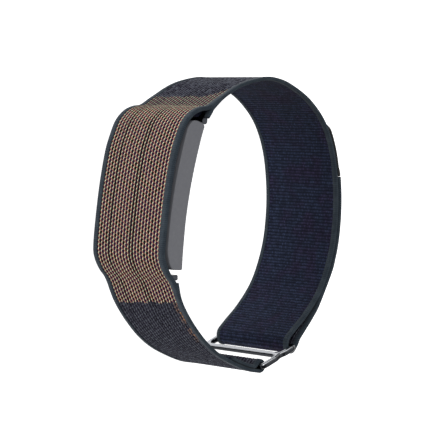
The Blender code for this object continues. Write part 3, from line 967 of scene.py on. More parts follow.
@dataclass(frozen=True)
class Plain:
    """Finish of a hard or soft moulded, cut or drawn piece: two tones, grain, and roughness that varies."""

    tone: Colour
    shade: Colour
    grain: float = 3.0
    rough: tuple[float, float] = (0.35, 0.55)
    metal: float = 0.0
    bump: float = 0.01
    stretch: Colour = (1, 1, 1)
    coat: float = 0.0
    clear: float = 0.0

    def material(self, name: str) -> bpy.types.Material:
        """The finish as a material.

        Args:
            name: The material's name.

        Returns:
            The material.
        """
        g = Graph(name)
        coarse, fine = g.noise(self.grain * 0.15, 3.0), g.noise(self.grain, 3.0, self.stretch)
        share = ease(coarse * 0.5 + fine * 0.5, 0.3, 0.7)
        g.bumped(fine, self.bump, 0.5)
        return g.finish(Base_Color=g.mixed(share, self.tone, self.shade), Metallic=self.metal,
                        Roughness=fine * (self.rough[1] - self.rough[0]) + self.rough[0],
                        Coat_Weight=self.coat, Transmission_Weight=self.clear)


FINISHES: dict[str, Plain] = {
    "polished_metal": Plain(tint(112, 114, 119), tint(84, 87, 94), 2.0, (0.07, 0.16), 1.0, 0.002),
    "plain_steel": Plain(tint(74, 76, 80), tint(52, 54, 60), 5.0, (0.25, 0.45), 1.0, 0.004, (1, 1, 6)),
    "pod_grey": Plain(tint(103, 104, 109), tint(96, 97, 103), 9.0, (0.46, 0.60), 0.0, 0.004),
    "pod_black": Plain(tint(58, 59, 64), tint(46, 47, 52), 9.0, (0.42, 0.56), 0.0, 0.004),
    "window_glass": Plain(tint(70, 72, 82), tint(58, 60, 72), 2.0, (0.03, 0.06), 0.0, 0.0004, coat=0.6,
                          clear=0.85),
    "board_green": Plain(tint(26, 92, 58), tint(18, 66, 42), 4.0, (0.35, 0.5), 0.0, 0.006, coat=0.3),
    "chip_black": Plain(tint(34, 34, 38), tint(22, 22, 26), 8.0, (0.45, 0.6), 0.0, 0.004),
    "lamp_clear": Plain(tint(196, 224, 176), tint(160, 204, 150), 3.0, (0.12, 0.2), 0.0, 0.002, coat=0.5),
    "cell_foil": Plain(tint(176, 178, 184), tint(140, 142, 150), 2.5, (0.3, 0.5), 1.0, 0.02),
    "gold_metal": Plain(tint(214, 170, 92), tint(188, 142, 70), 4.0, (0.18, 0.32), 1.0, 0.003),
    "soft_black": Plain(tint(22, 22, 25), tint(14, 14, 17), 6.0, (0.6, 0.8), 0.0, 0.006),
    "tab_black": Plain(tint(13, 13, 16), tint(6, 6, 9), 7.0, (0.6, 0.78), 0.0, 0.012),
    "stitch_thread": Plain(tint(128, 88, 62), tint(84, 60, 52), 10.0, (0.55, 0.7), 0.0, 0.02, (1, 1, 4)),
}


class Wardrobe:
    """Every finish, made once and handed out by slot name."""

    def __init__(self) -> None:
        """Starts with no material made."""
        self.made: dict[str, bpy.types.Material] = {}

    def get(self, slot: str) -> bpy.types.Material:
        """Material of a plain finish's slot.

        Args:
            slot: The slot's name.

        Returns:
            The material.
        """
        if slot not in self.made:
            self.made[slot] = FINISHES[slot].material(slot)
        return self.made[slot]

    def dress(self, obj: bpy.types.Object, slot: str,
              material: bpy.types.Material | None = None) -> bpy.types.Object:
        """Puts one material on a piece.

        Args:
            obj: The piece.
            slot: Name of the plain finish, used when no material is given.
            material: The material, when it isn't the slot's plain one.

        Returns:
            The piece.
        """
        obj.data.materials.clear()
        obj.data.materials.append(material or self.get(slot))
        return obj


WARDROBE = Wardrobe()


# ---- cloth -------------------------------------------------------------------------------------

class Edge(Enum):
    """The strap's two long edges."""

    FAR = "far"
    NEAR = "near"


@dataclass
class Web:
    """Flat body of a ply, one detailed face with a plain back, between the two bound edges."""

    line: Line
    side: int
    cloth: Union[Knit, Ribbing]
    face: float
    depth: Amount
    along_step: float
    across_step: float
    start: float = 0.0
    margin: float = 0.55

    def build(self, name: str) -> bpy.types.Object:
        """Closed slab with its relief and maps.

        Args:
            name: The piece's name.

        Returns:
            The object.
        """
        line = self.line.spaced(self.along_step)
        run, left = line.run(), line.left() * self.side
        width = STRAP_WIDTH - 2 * self.margin
        across = self.margin + np.linspace(0, width, max(2, round(width / self.across_step)) + 1)
        rows, cols = len(run), len(across)
        s, v = np.meshgrid(run + self.start, across, indexing="ij")
        tuck = ease(np.minimum(v - self.margin, STRAP_WIDTH - self.margin - v), 0.0, 0.7)
        out = self.face + self.cloth.relief(s, v) * (0.3 + 0.7 * tuck)
        flat = line.at[:, None] + left[:, None] * out[..., None]
        front = np.dstack([flat + SHIFT, STRAP_LOW + v]).reshape(-1, 3)
        depth = np.broadcast_to(np.asarray(self.depth, float), (len(self.line.at),))
        depth = np.interp(run, self.line.run(), depth)
        rear = line.at + left * depth[:, None] + SHIFT
        backs = np.concatenate([np.column_stack([rear, np.full(rows, STRAP_LOW + edge)])
                                for edge in (across[0], across[-1])])
        i, j = np.meshgrid(np.arange(rows - 1), np.arange(cols - 1), indexing="ij")
        a = (i * cols + j).ravel()
        quads = np.stack([a, a + 1, a + cols + 1, a + cols], 1)
        base, k = rows * cols, np.arange(rows - 1)
        first, last = k * cols, k * cols + cols - 1
        low, high = base + k, base + rows + k
        sides = np.concatenate([np.stack([first, first + cols, low + 1, low], 1),
                                np.stack([last, high, high + 1, last + cols], 1),
                                np.stack([low, low + 1, high + 1, high], 1)])
        ends = [list(range(cols)) + [base + rows, base],
                (list(range((rows - 1) * cols, rows * cols)) + [base + 2 * rows - 1, base + rows - 1])[::-1]]
        weave = np.concatenate([np.column_stack([s.ravel(), v.ravel()]),
                                np.column_stack([run + self.start, np.full(rows, across[0])]),
                                np.column_stack([run + self.start, np.full(rows, across[-1])])])
        span = BAKE_FACE * (v - across[0]) / width
        unit = run / run[-1]
        bake = np.concatenate([np.column_stack([BAKE_RIM + span.ravel(), np.repeat(unit, cols)]),
                               *(np.column_stack([np.full(rows, place), unit]) for place in BAKE_BACK)])
        maps = {"Weave": weave, "OFBake": bake * [1, 1 - 2 * BAKE_RIM] + [0, BAKE_RIM]}
        return outward(mesh_piece(name, np.concatenate([front, backs]), np.concatenate([quads, sides]), ends,
                                  maps, flat=len(sides)))


@dataclass
class Binding:
    """Tape folded over one long edge of a ply."""

    line: Line
    edge: Edge
    thick: Amount = 0.8
    width: float = 1.25
    tape: Tape = field(default_factory=Tape)
    step: float = 0.115
    shift: Amount = 0.0
    tuck: float = 0.0

    def section(self) -> np.ndarray:
        """Closed section: offset in half thicknesses, and depth from the edge in millimetres.

        Returns:
            The section's points, one row each.
        """
        w = self.width
        half = [(0.0, 0.055), (0.16, 0.03), (0.36, 0.0), (0.60, 0.035), (0.80, 0.12), (0.94, 0.25),
                (1.0, 0.42), (1.01, w * 0.55), (1.0, w - 0.22), (0.95, w - 0.08), (0.82, w - 0.01), (0.6, w)]
        return np.array(half + [(-a, b) for a, b in reversed(half[1:])])

    def build(self, name: str) -> bpy.types.Object:
        """Swept tape with its fine ribs.

        Args:
            name: The piece's name.

        Returns:
            The object.
        """
        line = self.line.spaced(self.step)
        run, left = line.run(), line.left()
        old = self.line.run()
        thick = np.interp(run, old, np.broadcast_to(np.asarray(self.thick, float), len(old)))
        shift = np.interp(run, old, np.broadcast_to(np.asarray(self.shift, float), len(old)))
        section = self.section()
        n, rows = len(section), len(run)
        rib = self.tape.height * (wave_of(run / self.tape.pitch) - 0.5)
        sway = 0.02 * np.sin(run * 0.9 + 1.3) + 0.015 * np.sin(run * 2.3)
        offset = section[:, 0][None] * (thick / 2 + rib)[:, None] + shift[:, None]
        depth = section[:, 1][None] + np.where(section[:, 1] > self.width * 0.8, 1, 0)[None] * sway[:, None]
        depth = depth - rib[:, None] * (section[:, 1] < 0.2)[None] + self.tuck
        level = STRAP_HIGH - depth if self.edge is Edge.NEAR else STRAP_LOW + depth
        flat = line.at[:, None] + left[:, None] * offset[..., None] + SHIFT
        verts = np.dstack([flat, level]).reshape(-1, 3)
        around = np.concatenate([[0], np.cumsum(np.linalg.norm(np.diff(section, axis=0), axis=1))])
        weave = np.column_stack([np.repeat(run, n), np.tile(around, rows)])
        bake = np.column_stack([np.repeat(BAKE_RIM + (1 - 2 * BAKE_RIM) * run / run[-1], n),
                                np.tile(0.01 + 0.9 * around / around[-1], rows)])
        end = (rows - 1) * n
        made = mesh_piece(name, verts, ring_faces(rows, n), [list(range(n)), list(range(end, end + n))],
                          {"Weave": weave, "OFBake": bake})
        return outward(made)


@dataclass
class StitchRow:
    """Row of thread stitches sewn across a ply."""

    at: tuple[float, float]
    away: tuple[float, float]
    low: float = STRAP_LOW + 1.9
    high: float = STRAP_HIGH - 1.9
    pitch: float = 1.3
    thread: float = 0.13

    def build(self, name: str) -> bpy.types.Object:
        """Thread that rises over the cloth and dips into it at each hole.

        Args:
            name: The piece's name.

        Returns:
            The thread.
        """
        z = np.linspace(self.low, self.high, 160)
        rise = np.abs(np.sin(math.pi * (z - self.low) / self.pitch)) ** 0.6 * 0.3 - 0.12
        flat = np.array(self.at) + SHIFT + np.array(self.away)[None] * rise[:, None]
        return tube(name, np.column_stack([flat, z]), self.thread, 8)


# ---- the strap ---------------------------------------------------------------------------------

def offset_points(points: Sequence, distance: float) -> list[np.ndarray]:
    """Control points moved to the left of the smooth line through them.

    Args:
        points: The control points.
        distance: How far they move.

    Returns:
        The moved points.
    """
    line = Line.through(points)
    run, left = line.run(), line.left()
    return [np.array(p) + left[np.argmin(np.abs(run - line.near(p)))] * distance for p in points]


class Loop:
    """The lines that the strap's plies follow."""

    def __init__(self) -> None:
        """Works out every line once."""
        self.upper = Line.through([ROOT_END, *UPPER_LINE, SPLIT])
        wrap = arc(LEFT_BAR, WRAP_RADIUS, -WRAP_TURN, WRAP_TURN, 14)
        laid = Line.through([*LOWER_LINE, tuple(wrap[0])]).moved(SEWN_STEP).at
        back = laid[(laid[:, 0] > SEWN_END) & (laid[:, 0] < LEFT_BAR[0] - WRAP_RADIUS)][::-1][4::14]
        lower = [*LOWER_LINE, *wrap, *back]
        self.lower = Line.through(lower)
        top = offset_points(UPPER_LINE, STRAP_HALF)[2:][::-1]
        bottom = offset_points(lower, -STRAP_HALF)[1:]
        self.skin = Line.through([*top, (-10.2, 26.78), *COVER_LINE, (-22.5, -15.35), *bottom])
        self.tail = self.tail_line()

    def tail_line(self) -> Line:
        """Middle of the free strap end laid on the outside of the strap.

        Returns:
            The line, from its upper end down to the slider.
        """
        laid = Line.through(UPPER_LINE).moved(PLY_STEP).at
        keep = laid[(laid[:, 0] > TAIL_SIDE) & (laid[:, 1] < 8.3) & (laid[:, 1] > -16.0)]
        return Line.through([*keep[::40], *TAIL_RETURN, TAIL_JOIN])


@dataclass
class Strap:
    """The knit strap: outer knit, ribbed lining and bound edges, in an upper and a lower stretch."""

    loop: Loop
    knit: Knit
    knit_material: bpy.types.Material
    lining: Ribbing = field(default_factory=Ribbing)
    tape: Tape = field(default_factory=Tape)
    edge_thick: float = 0.84
    bend_start: tuple[float, float] = (23.5, -17.5)
    bend_end: tuple[float, float] = (13.0, -28.6)
    root_inset: float = 2.2

    def __post_init__(self) -> None:
        """Makes the lining's and the tape's materials."""
        self.lining_material = self.lining.material("strap_lining")
        self.tape_material = self.tape.material("edge_tape")

    def faced(self, web: Web, name: str) -> bpy.types.Object:
        """The outer knit of one ply, built and dressed."""
        return WARDROBE.dress(web.build(name), "strap_knit", self.knit_material)

    def lined(self, line: Line, side: int, depth: float, name: str) -> bpy.types.Object:
        """The ribbed lining of one ply, built and dressed."""
        web = Web(line, side, self.lining, face=0.32, depth=depth, along_step=0.13, across_step=0.3)
        return WARDROBE.dress(web.build(name), "strap_knit", self.lining_material)

    def edged(self, line: Line, thick: float, name: str) -> list[bpy.types.Object]:
        """The tapes on both long edges of one ply, built and dressed."""
        tapes = [Binding(line, edge, thick, tape=self.tape).build(f"{name}_{edge.value}") for edge in Edge]
        return [WARDROBE.dress(tape, "strap_knit", self.tape_material) for tape in tapes]

    def build_upper(self, join: float) -> None:
        """The stretch from the hinge over the top and down to the slider.

        Args:
            join: Distance along the outer skin at which the fine knit takes over.
        """
        web = Web(self.loop.skin.part(0.0, join), -1, self.knit, face=-0.09, depth=-0.34, along_step=0.2,
                  across_step=0.2)
        outer = self.faced(web, "strap_outer_upper")
        lining = self.lined(self.loop.upper, -1, -0.04, "strap_lining_upper")
        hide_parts("strap_upper")
        for piece in (outer, lining, *self.edged(self.loop.upper, self.edge_thick, "strap_edge_upper")):
            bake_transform(piece)

    def build_lower(self, join: float) -> None:
        """The stretch from the pod's lower end round the slider's left bar and back.

        Args:
            join: Distance along the outer skin at which the fine knit ends.
        """
        skin = self.loop.skin
        web = Web(skin.part(join, skin.run()[-1]), -1, self.knit, face=-0.09, depth=-0.36, along_step=0.16,
                  across_step=0.16, start=join)
        outer = self.faced(web, "strap_outer_lower")
        lining = self.lined(self.loop.lower, 1, -0.04, "strap_lining_lower")
        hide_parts("strap_lower")
        edges = self.edged(self.loop.lower, self.edge_thick, "strap_edge_lower")
        for piece in (outer, lining, *edges, *self.stitches()):
            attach(piece, "band")

    def build_root(self) -> None:
        """Folded root of the strap above the hinge, which closes the end of the cover's pocket."""
        corners = [(-12.5, 24.3), (-13.3, 24.5), (-15.3, 23.95), (-15.45, 23.1), (-14.3, 22.85),
                   (-13.4, 23.4)]
        outline = cornered(corners, [0.2, 0.3, 0.35, 0.3, 0.3, 0.3])
        outline = Line(np.vstack([outline, outline[:1]])).spaced(0.12).at[:-1] + SHIFT
        root = rounded_prism("strap_root", outline, STRAP_LOW + self.root_inset, STRAP_HIGH - self.root_inset,
                             0.1)
        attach(WARDROBE.dress(root, "strap_knit", self.lining.material("root_cloth")), "band")

    def stitches(self) -> list[bpy.types.Object]:
        """The two rows of thread that close the loop on the slider's left bar.

        Returns:
            The rows.
        """
        made, skin = [], self.loop.skin
        for number in (1, 2):
            low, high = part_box(f"loop_stitch_{number}")
            middle = (np.array(low[:2]) + np.array(high[:2])) / 2 / MM - SHIFT
            near = int(np.argmin(np.linalg.norm(skin.at - middle, axis=1)))
            away = -skin.left()[near]
            row = StitchRow(tuple(skin.at[near] - away * 0.05), tuple(away)).build(f"stitch_row_{number}")
            made.append(WARDROBE.dress(row, "stitch_thread"))
            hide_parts(f"loop_stitch_{number}")
        return made


@dataclass
class Cover:
    """The bright knit cover over the pod, with its own bound edges, sewn into the strap at both ends."""

    loop: Loop
    knit: Knit
    knit_material: bpy.types.Material
    tape_material: bpy.types.Material
    tape: Tape = field(default_factory=Tape)
    thick: float = 1.05
    sewn: float = 0.34
    edge_width: float = 1.5
    backing_ends: tuple[tuple[float, float], ...] = ((-9.0, 27.4), (-21.7, -17.2))
    edge_ends: tuple[tuple[float, float], ...] = ((-5.4, 29.0), (-20.2, -20.0))

    def build(self, join: tuple[float, float]) -> None:
        """Outer knit, backing and edges.

        Args:
            join: Distances along the outer skin between which the cover runs.
        """
        skin = self.loop.skin
        outer = Web(skin.part(*join), -1, self.knit, face=-0.10, depth=-0.45, along_step=0.125,
                    across_step=0.145, start=join[0]).build("cover_knit")
        WARDROBE.dress(outer, "cover_knit", self.knit_material)
        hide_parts("cover")
        first, last = (skin.near(point) for point in self.backing_ends)
        backing = Web(skin.part(first, last), 1, Ribbing(height=0.05), face=0.82, depth=0.40, along_step=0.26,
                      across_step=0.4, start=first).build("cover_backing")
        WARDROBE.dress(backing, "cover_knit", Ribbing().material("cover_lining"))
        tapes = self.edges()
        for piece in (outer, backing, *tapes):
            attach(piece, "band")

    def edges(self) -> list[bpy.types.Object]:
        """The cover's two bound edges, thin where they are sewn in and full over the pod.

        Returns:
            The tapes.
        """
        skin = self.loop.skin
        path = skin.part(*(skin.near(point) for point in self.edge_ends))
        run = path.run()
        grow = ease(run, 0.5, 7.5) * (1 - ease(run, run[-1] - 6.5, run[-1] - 0.3))
        thick = self.sewn + (self.thick - self.sewn) * grow
        shift = thick / 2 + 0.05 * (1 - grow) - 0.02
        tapes = [Binding(path, edge, thick, self.edge_width, self.tape, shift=shift,
                         tuck=-0.015).build(f"cover_edge_{edge.value}") for edge in Edge]
        return [WARDROBE.dress(tape, "cover_knit", self.tape_material) for tape in tapes]


@dataclass
class Slider:
    """Three-bar slider of polished metal that the strap is sewn to and turned round."""

    thick: float = 1.4
    bar: float = 1.1
    rail: float = 1.25
    waist: float = 0.55
    corner: float = 1.6
    notch: float = 1.5
    window_corner: float = 1.7
    rim: float = 0.5
    middle: float = 5.9
    top: float = STRAP_LOW + STRAP_HIGH
    # Painted light on the metal: the light tone is a painted reflection on the plate's outer half, and the
    # dark tone is painted shade on its inner half.
    light: Colour = tint(168, 170, 174)
    dark: Colour = tint(40, 42, 46)

    def __post_init__(self) -> None:
        """Works out the left bar's place, and the directions along the plate and out of it."""
        span = np.array(RIGHT_BAR) - np.array(LEFT_BAR)
        self.left, self.span = np.array(LEFT_BAR) + SHIFT, float(np.linalg.norm(span))
        self.way = span / self.span
        self.out = np.array([-self.way[1], self.way[0]])

    def metal(self) -> bpy.types.Material:
        """Polished metal with painted light: a painted reflection makes the plate's outer half light, and
        painted shade makes its inner half dark.

        Returns:
            The material.
        """
        g = Graph("slider_metal_painted_light")
        place = g.node("ShaderNodeTexCoord")
        parts = g.node("ShaderNodeSeparateXYZ", Vector=place.outputs["Object"])
        x, y = (Shade(g.tree, parts.outputs[k]) for k in "XY")
        left = self.left * MM
        height = ((x - left[0]) * self.out[0] + (y - left[1]) * self.out[1]) * (1 / MM)
        fine = g.noise(2.0, 3.0)
        # Share of the painted reflection, by height out of the plate; below it lies the painted shade.
        share = ease(height + fine * 0.2, 0.3, 0.62)
        g.bumped(fine, 0.003, 0.4)
        return g.finish(Base_Color=g.mixed(share, self.dark, self.light), Metallic=1.0,
                        Roughness=fine * 0.1 + 0.08)

    def plate(self, name: str, outline: np.ndarray, thick: float) -> bpy.types.Object:
        """Plate in the slider's plane.

        Args:
            name: The object's name.
            outline: Outline as distance from the left bar and level.
            thick: Its thickness.

        Returns:
            The object.
        """
        n = len(outline)
        verts = [(*(self.left + self.way * x + self.out * side * thick / 2), z)
                 for side in (-1, 1) for x, z in outline]
        faces = np.array([[i, (i + 1) % n, n + (i + 1) % n, n + i] for i in range(n)])
        ends = [list(range(n))[::-1], list(range(n, 2 * n))]
        return outward(mesh_piece(name, np.array(verts), faces, ends))

    def build(self) -> None:
        """The frame, on the slider's body."""
        left, right, mid, top = -self.bar / 2, self.span + self.bar / 2, self.middle, self.top
        notch, half = self.notch, self.bar / 2
        corners = [(left, 0), (mid - notch, 0), (mid, self.waist), (mid + notch, 0), (right, 0),
                   (right, top), (mid + notch, top), (mid, top - self.waist), (mid - notch, top), (left, top)]
        radii = [self.corner, 0.7, 0.8, 0.7, self.corner] * 2
        bars = self.plate("slider_bars", cornered(corners, radii, 10), self.thick)
        for a, b in ((left + self.bar, mid - half), (mid + half, right - self.bar)):
            box = [(a, self.rail), (b, self.rail), (b, top - self.rail), (a, top - self.rail)]
            window = self.plate("window", cornered(box, [self.window_corner] * 4, 8), self.thick * 3)
            combined(bars, window, "DIFFERENCE")
        WARDROBE.dress(softened(bars, self.rim, 5, 50), "polished_metal", self.metal())
        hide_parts("slider_frame")
        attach(bars, "slider")


@dataclass
class Tail:
    """The strap's turn round the right bar and its free end, laid back on the strap's outside."""

    strap: Strap
    edge_thick: float = 0.82
    knit_start: float = 300.0
    bend_start: tuple[float, float] = (15.7, -29.1)
    bend_end: tuple[float, float] = (20.2, -24.1)

    def build(self) -> None:
        """The turn, on the slider, and the free end, laid from the turn up the strap's outside."""
        wrap = arc(RIGHT_BAR, WRAP_RADIUS, 175, 325, 10)
        fold = Line.through([SPLIT, (11.85, -29.8), *wrap[1:], (14.95, -30.4), TAIL_JOIN])
        for piece in self.ply(fold, "turn", "slider_fold"):
            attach(piece, "slider")
        for piece in self.ply(self.strap.loop.tail.back(), "tail", "tail_strap"):
            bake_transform(piece)

    def ply(self, line: Line, name: str, node: str) -> list[bpy.types.Object]:
        """Both faces and both edges of one ply.

        Args:
            line: Its middle, with the ribbed face on the right.
            name: Start of its pieces' names.
            node: The node it stands for.

        Returns:
            The pieces.
        """
        web = Web(line, 1, self.strap.knit, face=0.31, depth=0.02, along_step=0.17, across_step=0.17,
                  start=self.knit_start)
        knit = self.strap.faced(web, f"{name}_knit")
        lining = self.strap.lined(line, -1, -0.01, f"{name}_lining")
        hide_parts(node)
        return [knit, lining, *self.strap.edged(line, self.edge_thick, f"{name}_edge")]


@dataclass
class EndTab:
    """Peel-off end tab: a moulded tongue with a lip at its lower end and a patch of small hooks behind."""

    thick: float = 0.6
    inset: float = 0.6
    low: float = 8.2
    high: float = 20.8
    lip: float = 0.22
    ridge: float = 0.02
    ridge_pitch: float = 0.9
    hook_in: float = 0.65
    hook_thick: float = 0.25
    hook_pitch: tuple[float, float] = (0.62, 0.78)

    def build(self) -> None:
        """Tongue, hook base and hooks, on the tab's body."""
        upper = Line.through(UPPER_LINE).at
        path = Line(upper[(upper[:, 0] > TAIL_SIDE) & (upper[:, 1] > self.low)
                          & (upper[:, 1] < self.high)]).spaced(0.2)
        run, z0, z1 = path.run(), STRAP_LOW + self.inset, STRAP_HIGH - self.inset
        tab = self.tongue(path, z0, z1)
        WARDROBE.dress(tab, "tab_black")
        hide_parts("end_tab")
        hooks = self.hooks(path.part(1.6, run[-1] - 1.2), z0 + 1.0, z1 - 1.0)
        WARDROBE.dress(hooks, "tab_black")
        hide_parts("hook_patch")
        for piece in (tab, hooks):
            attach(piece, "tab")

    def tongue(self, path: Line, low: float, high: float) -> bpy.types.Object:
        """Ridged tongue, thin at its upper end and lifted at its lip.

        Args:
            path: The strap's line under it.
            low: Its lower level.
            high: Its upper level.

        Returns:
            The object.
        """
        rim = [(0.72, 0), (0.93, 0.006), (1, 0.016), (1, 0.5), (1, 0.984), (0.93, 0.994), (0.72, 1)]
        section = np.array([(-0.72, 0), *rim, *((-a, b) for a, b in rim[:0:-1])])
        run = path.run()
        lip = self.lip * ease(run, run[-1] - 2.4, run[-1] - 0.7)
        taper = 1.0 - 0.45 * (1 - ease(run, 0.0, 2.0))
        middle = self.hook_in + self.hook_thick + 0.06 + self.thick / 2
        ridge = self.ridge * wave_of(run / self.ridge_pitch)
        half = self.thick / 2 * taper + lip * 0.5
        lift = (middle + lip + ridge)[:, None] + section[:, 0][None] * half[:, None]
        width = (high - low) * (1.0 - 0.175 * (1 - ease(run, -1.2, 2.4)))
        level = MID_Z + (section[:, 1] - 0.5)[None] * width[:, None]
        flat = path.at[:, None] + path.left()[:, None] * lift[..., None] + SHIFT
        n, rows = len(section), len(run)
        return outward(mesh_piece("tab_tongue", np.dstack([flat, level]).reshape(-1, 3), ring_faces(rows, n),
                                  [list(range(n)), list(range((rows - 1) * n, rows * n))]))

    def hooks(self, path: Line, low: float, high: float) -> bpy.types.Object:
        """Thin base with rows of small bent hooks.

        Args:
            path: The strap's line under the patch.
            low: The patch's lower level.
            high: Its upper level.

        Returns:
            The object.
        """
        base = path.moved(self.hook_in + self.hook_thick * 0.75)
        left, at, run = base.left(), base.at + SHIFT, base.run()
        half = self.hook_thick * 0.25
        verts = np.concatenate([np.column_stack([at + left * off, np.full(len(at), z)])
                                for off, z in ((-half, low), (half, low), (half, high), (-half, high))])
        m = len(at)
        k = np.arange(m - 1)
        quads = [np.stack([k + a * m, k + 1 + a * m, k + 1 + b * m, k + b * m], 1)
                 for a, b in ((0, 1), (1, 2), (2, 3), (3, 0))]
        rings = [[0, m, 2 * m, 3 * m], [m - 1, 2 * m - 1, 3 * m - 1, 4 * m - 1][::-1]]
        parts, count = [verts], len(verts)
        stem = np.array([(0, 0), (0.05, 0.09), (0.12, 0.13), (0.19, 0.10)])
        around = ((-1, -1), (1, -1), (1, 1), (-1, 1))
        for s in np.arange(0.35, run[-1] - 0.3, self.hook_pitch[0]):
            i = int(np.argmin(np.abs(run - s)))
            out, along = -left[i], np.array([left[i][1], -left[i][0]])
            for z in np.arange(low + 0.5, high - 0.4, self.hook_pitch[1]):
                ring = []
                for (x, y), r in zip(stem, (0.09, 0.07, 0.06, 0.045)):
                    spot = at[i] + out * (half + y * 1.05 - 0.02) + along * x
                    ring += [(*(spot + along * dx * r), z + dz * r) for dx, dz in around]
                parts.append(np.array(ring))
                quads.append(ring_faces(4, 4) + count)
                rings += [[count + c for c in (0, 1, 2, 3)], [count + 12 + c for c in (3, 2, 1, 0)]]
                count += 16
        return outward(mesh_piece("tab_hooks", np.concatenate(parts), np.concatenate(quads), rings))


# ---- the pod -----------------------------------------------------------------------------------

@dataclass
class Pod:
    """The sensor pod: grey body, dark wrist plate with its island, window and small metal pieces."""

    thick: float = 4.6
    length: float = 32.8
    low: float = STRAP_LOW + 0.2
    high: float = STRAP_HIGH - 0.2
    base: float = 1.0
    sensor: float = 15.6
    bump: float = 1.5
    island: tuple[float, float] = (8.4, 7.6)
    optic: tuple[float, float] = (5.6, 5.0)
    gap: float = 0.12
    wall: float = 0.55
    skin_spot: float = 4.9
    contact_spot: float = 25.9
    contact_sides: tuple[float, float] = (-2.2, 2.2)
    screws: tuple[tuple[float, float], ...] = ((1.25, -8.6), (1.25, 8.6), (28.35, -8.6), (28.35, 8.6))

    def __post_init__(self) -> None:
        """Works out the wrist line that all pod places are measured on."""
        self.line = Line.through(POD_LINE)
        self.run, self.away = self.line.run(), self.line.left()

    def at(self, u: Amount, v: Amount) -> np.ndarray:
        """Plane place of a pod coordinate.

        Args:
            u: Distance up the pod from its lower end.
            v: Distance outward from the wrist line.

        Returns:
            The places, one row each.
        """
        u, v = np.atleast_1d(u), np.atleast_1d(v)
        base = np.stack([np.interp(u, self.run, self.line.at[:, k]) for k in (0, 1)], 1)
        for end, past in ((0, np.minimum(u, 0.0)), (-1, np.maximum(u - self.run[-1], 0.0))):
            base = base + past[:, None] * np.array([self.away[end][1], -self.away[end][0]])
        away = np.stack([np.interp(u, self.run, self.away[:, k]) for k in (0, 1)], 1)
        return base + away * v[:, None]

    def outline(self, corners: Sequence, radii: Sequence[float], step: float = 0.6) -> np.ndarray:
        """Closed outline from pod corners, rounded, its long sides following the pod's curve.

        Args:
            corners: The corners, as distance up the pod and outward.
            radii: How far each corner is cut back.
            step: Longest straight step along the pod.

        Returns:
            The outline, counter-clockwise.
        """
        flat = cornered(corners, radii)
        out = []
        for a, b in zip(flat, np.roll(flat, -1, 0)):
            parts = max(1, round(float(np.linalg.norm(b - a)) / step))
            out += [a + (b - a) * k / parts for k in range(parts)]
        out = np.array(out)
        made = self.at(out[:, 0], out[:, 1]) + SHIFT
        if max(radii) > 0:
            made = Line(np.vstack([made, made[:1]])).spaced(0.25).at[:-1]
        area = np.sum(made[:, 0] * np.roll(made[:, 1], -1) - made[:, 1] * np.roll(made[:, 0], -1))
        return made if area > 0 else made[::-1]

    def block(self, u: tuple[float, float], v: tuple[float, float],
              z: tuple[float, float]) -> bpy.types.Object:
        """Plain curved block for cutting, z from the mid-width."""
        box = [(u[0], v[0]), (u[1], v[0]), (u[1], v[1]), (u[0], v[1])]
        return rounded_prism("cut", self.outline(box, [0.0] * 4, 2.0), MID_Z + z[0], MID_Z + z[1], 0.0, 1)

    def turned(self, name: str, u: float, z: float, profile: Sequence, sides: int = 32,
               stretch: tuple[float, float] = (1.0, 1.0)) -> bpy.types.Object:
        """Turned piece on the pod.

        Args:
            name: The object's name.
            u: Place up the pod.
            z: Place from the mid-width.
            profile: Radius and depth pairs, depths outward from the wrist line.
            sides: Sides of its rings.
            stretch: Scale of the radius along the pod and across it.

        Returns:
            The object.
        """
        i = int(np.argmin(np.abs(self.run - u)))
        away = self.away[i]
        along = np.array([away[1], -away[0]])
        centre = self.at(u, 0.0)[0] + SHIFT
        a = 2 * math.pi * (np.arange(sides) + 0.5) / sides
        verts = [np.column_stack([centre + away * depth + np.outer(np.cos(a) * radius * stretch[0], along),
                                  MID_Z + z + np.sin(a) * radius * stretch[1]]) for radius, depth in profile]
        last = (len(profile) - 1) * sides
        return outward(mesh_piece(name, np.vstack(verts), ring_faces(len(profile), sides),
                                  [list(range(sides)), list(range(last, last + sides))]))

    def screw_hole(self, u: float, z: float) -> bpy.types.Object:
        """Cutter for a countersunk screw.

        Args:
            u: Place up the pod.
            z: Place from the mid-width.

        Returns:
            The cutter.
        """
        g = self.gap
        profile = [(0.75 + g, -0.4), (0.75 + g, 0.6), (0.36 + g, 0.6 + g), (0.36 + g, 2.2)]
        return self.turned("cut", u, z, profile, 24)

    def build_body(self) -> None:
        """Grey body with its recess, hollow, rail slot, magnet seat and screw holes."""
        n, t = self.length, self.thick
        corners = [(0, 0.0), (0, t - 1.7), (0.9, t - 0.9), (3.6, t), (n - 2.1, t), (n - 0.5, t - 0.9),
                   (n, t - 2.0), (n, 0.5), (n - 0.5, 0.0)]
        radii = [0.4, 0.5, 0.6, 0.9, 0.9, 0.7, 0.5, 0.32, 0.32]
        body = rounded_prism("pod_body", self.outline(corners, radii), self.low, self.high, 0.24)
        split, wide = self.base + 0.15, (self.high - self.low) / 2
        recess = self.block((self.wall, n - self.wall), (-2.0, split), (self.wall - wide, wide - self.wall))
        hollow = self.block((2.6, 27.1), (-1.0, t - 0.9), (self.low - MID_Z + 1.4, self.high - MID_Z - 1.4))
        magnet_seat = self.block((0.43, 3.1), (2.08, 3.42), (-6.12, 6.12))
        for cutter in (recess, hollow, magnet_seat, self.rail_cutter(),
                       *(self.screw_hole(u, z) for u, z in self.screws)):
            combined(body, cutter, "DIFFERENCE")
        self.fit(shaded(body, 32), "pod_grey", "pod_shell")

